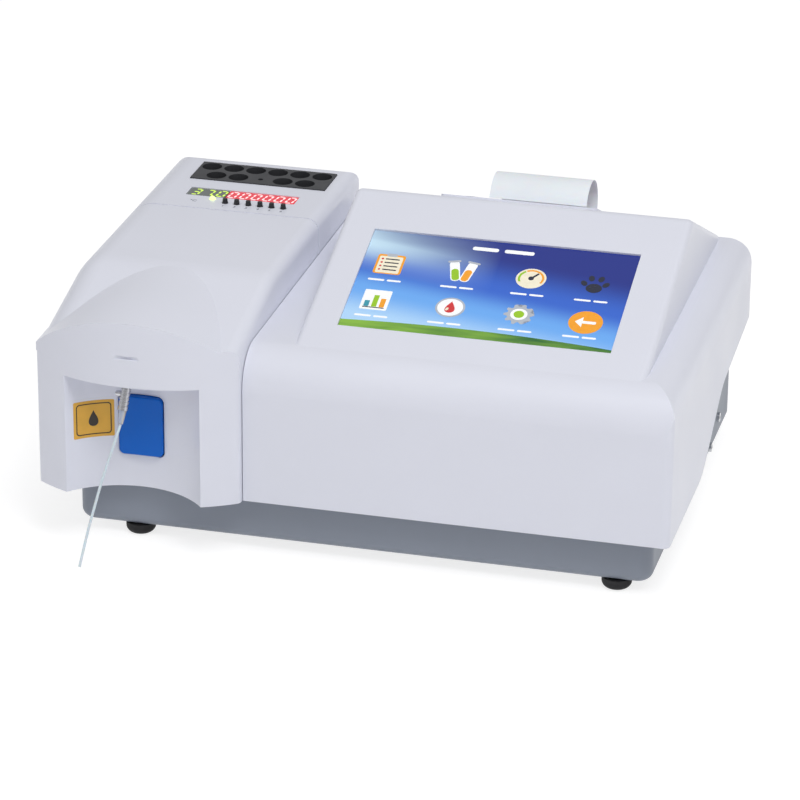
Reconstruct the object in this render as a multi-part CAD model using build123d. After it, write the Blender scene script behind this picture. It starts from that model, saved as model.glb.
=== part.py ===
from build123d import *
from math import asin, atan, atan2, cos, degrees, hypot, pi, radians, sin, sqrt, tan
import os

# Bench-top veterinary blood analyzer: a sampler tower on the left and a screen console on the right, side by
# side on a grey tray with four feet. Millimetres. The origin lies on the bench under the middle of the case,
# +X runs to the right as the user sees it, +Y to the back and +Z up.

# Case
case_left = -179.0
case_right = 179.0
case_back = 130.4
wall = 2.8                  # moulded covers
seam_x = -61.6              # where tower and console meet
seam_gap = 0.4
cover_bottom = 34.6         # lower edge of both covers at the front
rise_start_y = -19.6        # the lower edge climbs between these two places
rise_end_y = 40.4
rise_end_z = 67.0
back_edge_z = 75.6
rise_radius = 45.0
corner_radius = 4.0         # upright corners of the covers

# Console cover
console_front = -119.6
shelf_top = 122.5
nose_radius = 22.5
shoulder_radius = 15.0
roof_left = -38.3           # raised wedge that carries the screen
roof_right = 159.0
roof_edge_radius = 4.0
ridge_y = 35.4
ridge_radius = 9.0
roof_back_z = 124.0
panel_slope = 18.55         # degrees

# Screen: a 7-inch module behind a flush opening
screen_width = 154.08
screen_height = 85.92
screen_left = -18.3
screen_front_y = -79.6
screen_front_z = 129.0
screen_lip = 1.2
glass_width = 165.0
glass_height = 100.0
glass_thickness = wall - screen_lip
module_thickness = 5.7
board_thickness = 1.6

# Sampler tower
tower_crown_y = -142.4      # foremost point of its bowed front
tower_bow_radius = 100.0
tower_top = 144.0
tower_left_radius = 18.0
tower_right_radius = 7.0
tower_back_radius = 10.0
ramp_y = -54.0              # where the top starts to fall towards the front
ramp_slope = 13.5           # degrees
ramp_radius = 60.0
brow_radius = 83.0          # barrel that runs out over the ramp to the front
brow_crest_back = 143.8
brow_crest_front = 142.4
parting_y = 38.9            # fine line between the front part and the deck
parting_width = 0.9
parting_depth = 0.5

# Sampling recess
recess_radius = 50.4
recess_back_y = -116.1
recess_top = 105.0
grip_width = 17.0           # finger mark over the recess
grip_height = 2.2

# Aspirate key, a plate that rocks on a pin at its top
key_width = 25.6
key_height = 35.2
key_centre_z = 72.4
key_front_y = -119.6
key_depth = 6.6
key_corner = 3.0
key_gap = 0.5
key_gap_below = 1.0
key_pin_radius = 1.5
key_pin_y = -110.5
key_pin_z = 86.5
key_turn = 5.0              # degrees, in at the bottom
key_rib_low = 57.0
key_rib_depth = 3.0
running_fit = 0.05

# Nozzle and sipper tube
nozzle_top = (-124.2, -128.6, 105.0)
nozzle_lean = (-2.1, -8.0, -24.5)
nozzle_length = 18.0
nozzle_radius = 2.9
nozzle_rib_depth = 0.35
tube_radius = 0.8
tube_route = [
    (-126.3, -136.6, 80.3),
    (-129.9, -142.0, 66.0),
    (-133.8, -147.5, 51.5),
    (-136.8, -153.3, 36.5),
    (-139.2, -161.2, 21.6),
    (-140.4, -170.6, 7.2),
]

# Deck of the tower: incubator and displays
incubator_width = 83.0
incubator_length = 29.0
incubator_x = -112.8
incubator_y = 100.9
incubator_proud = 0.6
incubator_depth = 40.0
incubator_flange = 2.2
well_radius = 5.95
well_depth = 34.0
well_pitch = 13.7
well_row_gap = 14.0
well_first_x = -147.0
sensor_radius = 1.6
display_left = -148.4
display_split = -125.0
display_right = -82.7
display_y = 65.8
display_length = 12.8
display_depth = 8.0
display_sunk = 0.3
key_row_x = -121.9
key_row_y = 51.0
key_row_pitch = 7.08
timer_key_count = 6
timer_key_radius = 1.7
timer_key_proud = 2.8
timer_key_travel = 0.6
timer_key_clearance = 0.25
lamp_x = -130.9
lamp_y = 55.3
lamp_radius = 1.7

# Base tray
tray_left = -161.5
tray_right = 167.7
tray_front = -109.6
tray_bottom = 6.5
tray_floor = 3.0
tray_wall = 2.5
tray_edge_radius = 6.0
tray_corner_radius = 9.0
tray_overlap = 9.0          # how far its sides reach up inside the covers
foot_radius = 8.5
foot_places = [(-127.2, -100.6), (147.3, -100.6), (-127.2, 105.0), (147.3, 105.0)]
post_radius = 5.0
cover_seat_z = 60.0
back_seat_y = 72.0
back_seat_z = 74.0

# Rear panel and what it carries
panel_inset = 3.0
panel_thickness = 2.0
panel_top = 88.0
flange_reach = 62.0
flange_top = 70.0
fan_size = 60.0
fan_depth = 15.0
fan_x = 24.0
fan_z = 45.0
fan_hub_radius = 12.0
fan_blades = 7
inlet_x = 118.0
inlet_z = 44.0
rocker_x = 88.0
rocker_tilt = 8.0           # degrees either side of level
port_x = -54.0
port_z = 34.0
waste_x = -104.0
waste_z = 30.0
waste_reach = 142.4
ground_x = -84.0
ground_z = 24.0

# Printer on the back slope
printer_x = 55.5
printer_y = 80.9
bezel_width = 92.0
bezel_length = 82.0
bezel_proud = 1.6
printer_depth = 44.5
printer_wall = 1.8
paper_width = 57.0
paper_x = 66.2
paper_thickness = 0.25
paper_place = -3.2
curl_radius = 17.5
platen_radius = 3.5
platen_place = (0.7, -5.0)
roll_radius = 15.5
lid_pin_place = (30.0, -3.5)
lid_thickness = 2.5
lid_pin_radius = 1.5
feed_key_radius = 5.5
feed_key_travel = 0.8
feed_place = (-33.0, -12.0)
well_end = 36.0
head_depth = 8.0
cheek = 2.0

# Optical bench inside the tower
bench_top = 56.0
bench_thickness = 4.0
light_x = -128.0
light_z = 84.0
wheel_radius = 24.0
wheel_thickness = 6.0
filter_pitch_radius = 17.0
filter_radius = 4.5
filter_places = 8
filter_count = 7            # the eighth place stays dark
wheel_y = 14.0

# Peristaltic pump inside the tower
pump_x = -133.0
pump_z = 62.0
pump_reach = 14.0
pump_roller_radius = 3.5
pump_rollers = 3

# Places inside the tower that several pieces share
switch_bottom = 53.0
switch_back = -97.0
board_left = -156.0
board_right = -75.0
board_front = 43.5
board_back = 75.5

# Main board, on the tray
main_board_x = (-46.0, 124.0)
main_board_y = (-98.0, 2.0)
main_board_z = 17.0

# Values that follow from the ones above
panel_grade = tan(radians(panel_slope))
ridge_z = screen_front_z + panel_grade * (ridge_y - screen_front_y)
back_grade = (roof_back_z - ridge_z) / (case_back - ridge_y)
back_slope = degrees(atan(-back_grade))
tower_right = seam_x - seam_gap / 2
console_left = seam_x + seam_gap / 2
tower_x = (case_left + tower_right) / 2
tray_top = tray_bottom + tray_floor
deck_under = tower_top - wall
rear_face = case_back - panel_inset
rear_inner = rear_face - panel_thickness
screen_tilt = radians(panel_slope)
screen_plane = Plane(
    origin=(
        screen_left + screen_width / 2,
        screen_front_y + screen_height / 2 * cos(screen_tilt),
        screen_front_z + screen_height / 2 * sin(screen_tilt),
    ),
    x_dir=(1, 0, 0),
    z_dir=(0, -sin(screen_tilt), cos(screen_tilt)),
)
printer_tilt = radians(back_slope)
printer_plane = Plane(
    origin=(printer_x, printer_y, ridge_z + back_grade * (printer_y - ridge_y)),
    x_dir=(1, 0, 0),
    z_dir=(0, sin(printer_tilt), cos(printer_tilt)),
)
board_top = tower_top - display_sunk - display_depth
paper_u = paper_x - printer_x
well_left = paper_u - paper_width / 2 - 3.2
well_right = bezel_width / 2 - 2.3 - printer_wall
lid_left = well_left + 0.4
lid_right = well_right - 0.4


def block(x, y, z):
    """A box from its (low, high) spans."""
    centre = ((x[0] + x[1]) / 2, (y[0] + y[1]) / 2, (z[0] + z[1]) / 2)
    return Pos(*centre) * Box(x[1] - x[0], y[1] - y[0], z[1] - z[0])


def span(middle, width):
    """The (low, high) pair of a width about its middle."""
    return (middle - width / 2, middle + width / 2)


def rod(start, end, radius):
    """A round bar between two points."""
    along = Vector(*end) - Vector(*start)
    return extrude(Plane(origin=start, z_dir=along) * Circle(radius), amount=along.length)


def outline(points, radii):
    """A face inside a closed outline with rounded corners."""
    return Face(Wire(FilletPolyline(*points, radius=radii, close=True).edges()))


def side_prism(points, radii, x0, x1):
    """A prism along X whose outline is given in (y, z)."""
    face = Pos(x0, 0, 0) * (Plane.YZ * outline(points, radii))
    return extrude(face, amount=x1 - x0, dir=(1, 0, 0))


def front_prism(points, radii, y0, y1):
    """A prism along Y whose outline is given in (x, z)."""
    face = Pos(0, y0, 0) * (Plane.XZ * outline(points, radii))
    return extrude(face, amount=y1 - y0, dir=(0, 1, 0))


def plan_prism(points, radii, z0, z1):
    """A prism along Z whose outline is given in (x, y)."""
    face = Pos(0, 0, z0) * outline(points, radii)
    return extrude(face, amount=z1 - z0, dir=(0, 0, 1))


def rounded_bar(width, height, depth, radius):
    """A bar with rounded corners, its front face on the XY plane and its depth below it."""
    return extrude(RectangleRounded(width, height, radius), amount=-depth)


def save(name, shape):
    """Write one piece of the analyzer."""
    export_step(shape, f"parts/{name}.step")


def lower_edge(inset):
    """The covers' lower edge from the front to the back, or an open bottom where there is an inset."""
    if inset:
        return [(case_back - inset, 0.0)], [0]
    points = [(rise_start_y, cover_bottom), (rise_end_y, rise_end_z), (case_back, back_edge_z)]
    return points, [rise_radius, rise_radius, 0]


def roof_form(inset):
    """The raised wedge over the console, drawn in by an inset."""
    grade_drop = inset / cos(screen_tilt)
    back_drop = inset / cos(printer_tilt)
    crest_y = ridge_y + (grade_drop - back_drop) / (panel_grade - back_grade)
    crest_z = ridge_z + panel_grade * (crest_y - ridge_y) - grade_drop
    front = console_front + 0.7 * nose_radius + inset
    front_z = ridge_z + panel_grade * (front - ridge_y) - grade_drop
    back = case_back - inset
    back_z = ridge_z + back_grade * (back - ridge_y) - back_drop
    root = shelf_top - 2 * wall
    points = [(front, root), (front, front_z), (crest_y, crest_z), (back, back_z), (back, root)]
    radii = [0, 0, ridge_radius - inset, 0, 0]
    form = side_prism(points, radii, roof_left + inset, roof_right - inset)
    if inset:
        return form
    upper = [e for e in form.edges() if e.center().Z > shelf_top + wall and e.bounding_box().size.X < 1]
    return fillet(upper, roof_edge_radius)


def shelf_form(inset):
    """The lower body of the console with its rounded nose and right shoulder."""
    front, back = console_front + inset, case_back - inset
    left, right = console_left + inset, case_right - inset
    top = shelf_top - inset
    edge, edge_radii = lower_edge(inset)
    foot = 0.0 if inset else cover_bottom
    side = side_prism(
        [(back, top), (front, top), (front, foot)] + edge,
        [0, nose_radius - inset, 0] + edge_radii,
        left,
        right,
    )
    face = front_prism(
        [(left, 0), (left, top), (right, top), (right, 0)],
        [0, 0, shoulder_radius - inset, 0],
        front,
        back,
    )
    corner = corner_radius - inset
    plan = plan_prism(
        [(left, front), (right, front), (right, back), (left, back)],
        [0, corner, corner, 0],
        0,
        shelf_top,
    )
    return side & face & plan


def on_screen(x, y, z, width, height, depth):
    """A box on the screen plane, its top face at depth z below the panel's surface."""
    return screen_plane * Pos(x, y, z - depth / 2) * Box(width, height, depth)


def on_printer(u, v, n):
    """A box from its spans across, down and out of the back slope."""
    return printer_plane * block(u, v, n)


def console_cover():
    """The white cover of the console, open below."""
    cover = shelf_form(0) + roof_form(0) - (shelf_form(wall) + roof_form(wall))
    cover -= on_screen(0, 0, 2 * wall, screen_width, screen_height, 4 * wall)
    cover -= on_screen(0, 0, -screen_lip, glass_width + 0.6, glass_height + 0.6, 3 * wall)
    opening = printer_plane * Pos(0, 0, 2 * wall)
    opening *= Box(bezel_width - 4, bezel_length - 4, 10 * wall)
    cover -= opening
    cover -= block(span(console_left, 4 * wall), (-70, 60), (62, 104))
    for y, z in ((-97.0, cover_seat_z), (back_seat_y, back_seat_z)):
        cover += block((console_left + wall, console_left + 14), span(y, 12), (z, z + 5))
    cover += block((145, case_right - wall), span(-97.0, 12), (cover_seat_z, cover_seat_z + 5))
    cover += block((tray_right, case_right - wall), (96, 108), (back_edge_z + 1, back_edge_z + 7))
    return cover


def tower_plan(inset):
    """Plan of the tower: straight sides, bowed front, rounded corners."""
    left, right, back = case_left + inset, tower_right - inset, case_back - inset
    radius = tower_bow_radius - inset
    half = (right - left) / 2
    middle = (left + right) / 2
    crown = tower_crown_y + inset
    corner_y = crown + radius - sqrt(radius**2 - half**2)
    bow = ThreePointArc((left, corner_y), (middle, crown), (right, corner_y))
    sides = Polyline((right, corner_y), (right, back), (left, back), (left, corner_y))
    return Face(Wire(bow.edges() + sides.edges()))


def tower_form(inset):
    """The tower's outer or inner form: a flat top, a ramp at the front and a barrel that runs out over it."""
    plan = extrude(tower_plan(inset), amount=2 * tower_top, dir=(0, 0, 1))
    front = tower_crown_y - 5
    top = tower_top - inset
    ramp_end = top - tan(radians(ramp_slope)) * (ramp_y - front)
    edge, edge_radii = lower_edge(inset)
    foot = 0.0 if inset else cover_bottom
    beyond = case_back + 30
    profile = side_prism(
        [(beyond, top), (ramp_y, top), (front, ramp_end), (front, 0), (beyond, 0)],
        [0, ramp_radius, 0, 0, 0],
        case_left,
        tower_right,
    )
    body = plan & profile
    for side, radius in ((Axis.X, tower_left_radius), (-Axis.X, tower_right_radius)):
        wall_face = body.faces().filter_by(Axis.X).sort_by(side)[0]
        upper = [
            e
            for e in wall_face.edges()
            if e.center().Z > ramp_end - 3 and e.bounding_box().size.Y > 1.5 * abs(e.bounding_box().size.Z)
        ]
        body = fillet(upper, radius - inset)
    body &= side_prism(
        [(case_back - inset, top), (front, top), (front, foot)] + edge,
        [tower_back_radius - inset, 0, 0] + edge_radii,
        case_left,
        tower_right,
    )
    rounded = tower_plan(inset)
    rounded = rounded.fillet_2d(corner_radius - inset, rounded.vertices().sort_by(Axis.Y)[:2])
    body &= extrude(rounded, amount=2 * tower_top, dir=(0, 0, 1))
    length = ramp_y - front
    tilt = degrees(atan((brow_crest_back - brow_crest_front) / length))
    barrel = Pos(tower_x, ramp_y, brow_crest_back - brow_radius)
    barrel *= Rot(90 + tilt, 0, 0) * Pos(0, 0, length / 2) * Cylinder(brow_radius - inset, length)
    brow = barrel & extrude(Pos(0, 0, ramp_end - 8) * tower_plan(inset), amount=60, dir=(0, 0, 1))
    return body + brow


def finger_mark():
    """The small crescent over the recess, the width of a finger."""
    half = grip_width / 2
    bite = half**2 / 2 * (1 / tower_bow_radius + 1 / (1.3 * grip_width))
    mark = Pos(tower_x, tower_crown_y - 1.3 * grip_width + bite, recess_top + 12.5) * Rot(14, 0, 0)
    return mark * Cylinder(1.3 * grip_width, grip_height)


def sampler_hood():
    """The white cover of the tower with the sampling recess in its front."""
    recess = Pos(tower_x, recess_back_y - recess_radius, recess_top / 2)
    hollow = tower_form(wall) - recess * Pos(0, 0, wall / 2) * Cylinder(recess_radius + wall, recess_top + wall)
    hood = tower_form(0) - recess * Cylinder(recess_radius, recess_top) - hollow
    line = block((case_left - 1, tower_right + 1), span(parting_y, parting_width), (tower_top - 24, tower_top + 1))
    hood -= line - tower_form(parting_depth)
    hood -= finger_mark()
    key_hole = Rot(90, 0, 0) * rounded_bar(
        key_width + 2 * key_gap, key_height + key_gap + key_gap_below, 30, key_corner + key_gap
    )
    hood -= Pos(tower_x, recess_back_y - 15, key_centre_z + (key_gap - key_gap_below) / 2) * key_hole
    hood -= Pos(nozzle_top[0], nozzle_top[1], recess_top + wall / 2) * Cylinder(nozzle_radius + 1.1, 2 * wall)
    deck = (tower_top - 2 * wall, tower_top + wall)
    hood -= block(span(incubator_x, incubator_width + 0.6), span(incubator_y, incubator_length + 0.6), deck)
    hood -= block((display_left - 0.3, display_right + 0.3), span(display_y, display_length + 0.6), deck)
    for n in range(timer_key_count):
        x = key_row_x + n * key_row_pitch
        hood -= Pos(x, key_row_y, tower_top) * Cylinder(timer_key_radius + timer_key_clearance, 4 * wall)
    hood -= Pos(lamp_x, lamp_y, tower_top) * Cylinder(lamp_radius + 0.2, 4 * wall)
    hood -= block(span(tower_right, 4 * wall), (-70, 60), (62, 104))
    hood += hinge_lugs()
    wall_back = recess_back_y + wall
    hood += block(span(tower_x, 16), (wall_back - 0.6, switch_back), (switch_bottom - 2.5, switch_bottom))
    for x in (board_left + 4, board_right - 4):
        for y in (board_front + 4, board_back - 4):
            hood += rod((x, y, board_top), (x, y, deck_under + 0.5), 2.2)
    hood += block((case_left + wall, case_left + 34), span(-92.0, 12), (cover_seat_z, cover_seat_z + 5))
    hood += block((tower_right - 14, tower_right - wall), span(-92.0, 12), (cover_seat_z, cover_seat_z + 5))
    hood += block((case_left + wall, tray_left), (96, 108), (back_edge_z + 1, back_edge_z + 7))
    return hood


def hinge_lugs():
    """Two ears behind the recess wall that hold the aspirate key's pin."""
    lugs = None
    for side in (-1, 1):
        x = tower_x + side * (key_width / 2 + key_gap + 3.5)
        lug = block(span(x, 3), (recess_back_y + 0.4, key_pin_y + 3.5), span(key_pin_z, 8))
        lug -= rod((x - 3, key_pin_y, key_pin_z), (x + 3, key_pin_y, key_pin_z), key_pin_radius + running_fit)
        lugs = lug if lugs is None else lugs + lug
    return lugs - Pos(tower_x, recess_back_y - recess_radius, key_pin_z) * Cylinder(recess_radius + 0.2, 20)


def aspirate_key():
    """The blue plate that starts the sampling, with two ears on its pin and a rib for the switch."""
    plate = Rot(90, 0, 0) * rounded_bar(key_width, key_height, key_depth, key_corner)
    plate = Pos(tower_x, key_front_y, key_centre_z) * plate
    plate = fillet(plate.faces().sort_by(Axis.Y)[0].edges(), 1.0)
    back = key_front_y + key_depth
    for side in (-1, 1):
        x = tower_x + side * (key_width / 2 - 3)
        plate += block(span(x, 4), (back - 0.5, key_pin_y + 3), span(key_pin_z, 6))
    ends = key_width / 2 + 1
    plate -= rod(
        (tower_x - ends, key_pin_y, key_pin_z), (tower_x + ends, key_pin_y, key_pin_z), key_pin_radius + running_fit
    )
    rib = (key_rib_low, key_rib_low + 6)
    return plate + block(span(tower_x, 8), (back - 0.5, back + key_rib_depth), rib)


def key_pin():
    """The steel pin of the aspirate key."""
    reach = key_width / 2 + key_gap + 5
    return rod((tower_x - reach, key_pin_y, key_pin_z), (tower_x + reach, key_pin_y, key_pin_z), key_pin_radius)


def micro_switch():
    """The switch that the aspirate key pushes, with its plunger."""
    body = block(span(tower_x, 12.8), (switch_back - 6.0, switch_back), (switch_bottom, switch_bottom + 13))
    reach = key_front_y + key_depth + key_rib_depth + tan(radians(key_turn)) * (key_pin_z - key_rib_low) + 0.1
    height = switch_bottom + 7
    return body + rod((tower_x, reach, height), (tower_x, switch_back - 5, height), 1.2)


def nozzle_axis():
    """Start, end and direction of the nozzle sleeve."""
    start = Vector(*nozzle_top)
    along = Vector(*nozzle_lean).normalized()
    return start, start + along * nozzle_length, along


def nozzle_sleeve():
    """The ribbed steel sleeve that hangs from the recess's ceiling, with its collar above it."""
    start, end, along = nozzle_axis()
    top = start - along * 6
    sleeve = rod(tuple(top), tuple(end), nozzle_radius)
    for n in range(5):
        middle = start + along * (5 + 2.4 * n)
        ring = rod(tuple(middle), tuple(middle + along * 1.0), nozzle_radius + 1)
        sleeve -= ring - rod(tuple(middle - along), tuple(middle + along * 2), nozzle_radius - nozzle_rib_depth)
    collar = Pos(top.X, nozzle_top[1] + 1.0, recess_top + wall + 1.5) * Cylinder(nozzle_radius + 4, 3)
    knob = rod(tuple(start + along * 9), tuple(start + along * 9 + Vector(-5.2, 0.4, 0)), 1.6)
    return sleeve + collar + knob


def nozzle_tip():
    """The clear cone between the sleeve and the tube."""
    start, end, along = nozzle_axis()
    root = end - along * 1.0
    reach = Vector(*tube_route[0]) - along * 0.3 - root
    cone = Solid.make_cone(nozzle_radius - 0.5, tube_radius + 0.5, reach.length, Plane(origin=root, z_dir=reach))
    return cone - rod(tuple(start), tuple(end), nozzle_radius + 0.02)


def sipper_tube():
    """The thin tube that dips into the sample: straight runs joined by arcs as large as the runs allow."""
    points = [Vector(*p) for p in tube_route]
    radii = []
    for before, here, after in zip(points, points[1:], points[2:]):
        run_in, run_out = here - before, after - here
        turn = radians(run_in.get_angle(run_out))
        radii.append(0.45 * min(run_in.length, run_out.length) / tan(turn / 2))
    print("sipper tube radii", [round(r, 1) for r in radii])
    path = Wire(FilletPolyline(*points, radius=radii).edges())
    tube = sweep(Plane(origin=path @ 0, z_dir=path % 0) * Circle(tube_radius), path)
    print("sipper tube volume over section times length", tube.volume / (pi * tube_radius**2 * path.length))
    return tube


def incubator_block():
    """The heated block with two staggered rows of tube wells and a sensor hole, its top level with the deck."""
    top = tower_top + incubator_proud
    body = block(span(incubator_x, incubator_width), span(incubator_y, incubator_length), (deck_under, top))
    grown = 2 * incubator_flange
    body += block(
        span(incubator_x, incubator_width + grown),
        span(incubator_y, incubator_length + grown),
        (top - incubator_depth, deck_under),
    )
    well = Cylinder(well_radius, well_depth)
    for x, y in well_places():
        body -= Pos(x, y, top - well_depth / 2) * well
    return body - Pos(*sensor_place(), top - 3) * Cylinder(sensor_radius, 8)


def well_places():
    """The ten wells: six behind, and four in front between them, with a gap for the sensor."""
    back_y = incubator_y + well_row_gap / 2
    front_y = incubator_y - well_row_gap / 2
    back_row = [(well_first_x + n * well_pitch, back_y) for n in range(6)]
    front_row = [(well_first_x + (n + 0.5) * well_pitch, front_y) for n in (0, 1, 3, 4)]
    return back_row + front_row


def sensor_place():
    """Where the temperature sensor sits among the wells."""
    return (well_first_x + 2.5 * well_pitch, incubator_y - well_row_gap / 2)


def heater_plate():
    """The heater under the incubator block, with its cable ears."""
    top = tower_top + incubator_proud - incubator_depth
    plate = block(span(incubator_x, 76), span(incubator_y, 26), (top - 3, top))
    return plate + block(span(incubator_x, 12), (incubator_y + 13, incubator_y + 17), (top - 2.5, top - 0.5))


def display(x0, x1):
    """A seven-segment module that fills its part of the window."""
    face = tower_top - display_sunk
    body = block((x0, x1), span(display_y, display_length), (face - display_depth, face))
    return chamfer(body.faces().sort_by(Axis.Z)[-1].edges(), 0.3)


def key_board():
    """The board under the displays, with the six key switches."""
    board = block(
        (board_left, board_right), (board_front, board_back), (board_top - board_thickness, board_top)
    )
    for n in range(timer_key_count):
        x = key_row_x + n * key_row_pitch
        board += block(span(x, 6), span(key_row_y, 6), (board_top, timer_key_foot() - 0.9))
    return board


def timer_key_foot():
    """Height of the timer keys' lower face at rest."""
    return board_top + 3.6


def timer_key(n):
    """One small tapered key with a foot under the deck."""
    x = key_row_x + n * key_row_pitch
    foot = timer_key_foot()
    stem = rod((x, key_row_y, foot), (x, key_row_y, tower_top + 0.4), timer_key_radius)
    head_height = timer_key_proud - 0.4
    head = Pos(x, key_row_y, tower_top + 0.4 + head_height / 2)
    head *= Cone(timer_key_radius, 0.8 * timer_key_radius, head_height)
    return stem + head + rod((x, key_row_y, foot), (x, key_row_y, foot + 0.8), 2.6)


def status_lamp():
    """The small green lamp beside the keys, down to its board."""
    dome = Pos(lamp_x, lamp_y, tower_top + 0.2) * Sphere(lamp_radius)
    return dome + rod((lamp_x, lamp_y, board_top), (lamp_x, lamp_y, tower_top + 0.2), lamp_radius)


def tray_form(inset):
    """The tray's tub, or its hollow."""
    left, right = tray_left + inset, tray_right - inset
    front = tray_front + inset
    floor = tray_bottom + (tray_floor if inset else 0)
    back = case_back + (5 if inset else 0)
    low = cover_bottom + tray_overlap
    high = back_edge_z + tray_overlap
    notch_y, notch_z = case_back - wall - 0.2, back_edge_z - 0.4
    top = [
        (rise_start_y, low),
        (rise_end_y, rise_end_z + tray_overlap),
        (notch_y, high),
        (notch_y, notch_z),
        (case_back, notch_z),
    ]
    corner = tray_corner_radius - inset
    tub = plan_prism(
        [(left, front), (right, front), (right, back), (left, back)], [corner, corner, 0, 0], floor, 2 * high
    )
    bottom = tub.faces().sort_by(Axis.Z)[0].edges()
    tub = fillet([e for e in bottom if e.center().Y < back - 1], tray_edge_radius - inset)
    if inset:
        return tub
    below = (back, 0), (front, 0), (front, low)
    radii = [0, 0, 0, rise_radius, rise_radius, 0, 0, 0]
    return tub & side_prism([*below, *top], radii, left, right)


def base_tray():
    """The grey tray: tub, posts for covers and boards, vents in its floor."""
    tray = tray_form(0) - tray_form(tray_wall)
    tray -= block(seam_walls(), (tray_front - 1, tray_front + tray_wall + 1), (cover_bottom - 0.4, 99))
    for x, y, z in cover_posts():
        tray += rod((x, y, tray_top - 1), (x, y, z), post_radius)
    for x, y in bench_posts():
        tray += rod((x, y, tray_top - 1), (x, y, bench_top - bench_thickness), 4)
    for x in (main_board_x[0] + 6, main_board_x[1] - 6):
        for y in (main_board_y[0] + 6, main_board_y[1] - 6):
            tray += rod((x, y, tray_top - 1), (x, y, main_board_z), 3)
    for x, y in foot_places:
        tray -= rod((x, y, 0), (x, y, 3 * tray_top), 2.0)
    for y, z in side_screw_places():
        tray -= rod((tray_left - 1, y, z), (tray_left + tray_wall + 1, y, z), 1.6)
        tray -= rod((tray_right - tray_wall - 1, y, z), (tray_right + 1, y, z), 1.6)
    for n in range(9):
        tray -= block(span(40 + 8 * n, 3), (-70, -20), (0, 2 * tray_top))
    return tray


def seam_walls():
    """The span across of the two cover walls that meet between tower and console, with room for them."""
    return (tower_right - wall - 0.5, console_left + wall + 0.5)


def cover_posts():
    """Where the covers' seats stand on the tray, and how high."""
    return [
        (case_left + 26, -92.0, cover_seat_z),
        (tower_right - 9.5, -92.0, cover_seat_z),
        (console_left + 9.5, -97.0, cover_seat_z),
        (console_left + 9.5, back_seat_y, back_seat_z),
        (152.0, -97.0, cover_seat_z),
    ]


def bench_posts():
    """The four posts under the optical bench."""
    return [(x, y) for x in (-151.0, -82.0) for y in (-62.0, 66.0)]


def rubber_feet():
    """Four domed feet whose stems sit in the tray's floor."""
    feet = None
    for x, y in foot_places:
        dome = Pos(x, y, 0) * revolve(
            Plane.XZ
            * Face(
                Wire(
                    Polyline((0, tray_bottom), (0, 0), (0.55 * foot_radius, 0)).edges()
                    + ThreePointArc(
                        (0.55 * foot_radius, 0), (0.9 * foot_radius, 1.6), (foot_radius, 4.6)
                    ).edges()
                    + Polyline((foot_radius, 4.6), (foot_radius, tray_bottom), (0, tray_bottom)).edges()
                )
            ),
            Axis.Z,
        )
        foot = dome + rod((x, y, tray_bottom), (x, y, tray_top + 1.5), 1.9)
        feet = foot if feet is None else feet + foot
    return feet


def screen_glass():
    """The touch glass behind the opening."""
    return on_screen(0, 0, -screen_lip, glass_width, glass_height, glass_thickness)


def screen_module():
    """The screen module behind the glass, its frame and its driver board."""
    under = -screen_lip - glass_thickness
    module = on_screen(0, 0, under, glass_width, glass_height, module_thickness)
    module += on_screen(0, 0, under - module_thickness, 120, 74, board_thickness)
    for x in (-40, 40):
        module += on_screen(x, -20, under - module_thickness - board_thickness, 18, 12, 3)
    return module


def rear_panel():
    """The grey sheet across the back with its side flanges and openings."""
    left, right = tray_left + tray_wall, tray_right - tray_wall
    sheet = block((left, right), (rear_inner, rear_face), (tray_top, panel_top))
    for x0, x1 in ((left, left + panel_thickness), (right - panel_thickness, right)):
        sheet += block((x0, x1), (rear_inner - flange_reach, rear_inner), (tray_top, flange_top))
    sheet &= tray_form(tray_wall)
    sheet -= block(seam_walls(), (rear_inner - 1, rear_face + 1), (back_edge_z - 2, panel_top + 1))
    sheet -= rod((fan_x, rear_inner - 5, fan_z), (fan_x, rear_face + 5, fan_z), fan_size / 2 - 2)
    sheet -= block(span(inlet_x, 28.2), (rear_inner - 1, rear_face + 1), span(inlet_z, 20.2))
    sheet -= block(span(rocker_x, 13.6), (rear_inner - 1, rear_face + 1), span(inlet_z, 19.8))
    sheet -= block(span(port_x, 30.4), (rear_inner - 1, rear_face + 1), span(port_z, 11.4))
    sheet -= block(span(port_x + 38, 14.6), (rear_inner - 1, rear_face + 1), span(port_z, 7.4))
    sheet -= rod((waste_x, rear_inner - 5, waste_z), (waste_x, rear_face + 5, waste_z), 4.1)
    sheet -= rod((ground_x, rear_inner - 5, ground_z), (ground_x, rear_face + 5, ground_z), 2.1)
    for y, z in side_screw_places():
        sheet -= rod((right - 5, y, z), (right + 5, y, z), 1.6)
        sheet -= rod((left - 5, y, z), (left + 5, y, z), 1.6)
    return sheet


def side_screw_places():
    """The two screws in each side of the tray near its back, in (y, z)."""
    return [(94.6, 22.5), (69.5, 13.8)]


def side_screws():
    """Pan-head screws through the tray's sides into the rear panel's flanges."""
    screws = None
    for side, face in ((1, tray_right), (-1, tray_left)):
        for y, z in side_screw_places():
            head = rod((face, y, z), (face + side * 1.6, y, z), 2.8)
            head -= rod((face + side * 0.8, y, z), (face + side * 2, y, z), 1.1)
            screw = head + rod((face, y, z), (face - side * 6, y, z), 1.5)
            screws = screw if screws is None else screws + screw
    return screws


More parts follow.
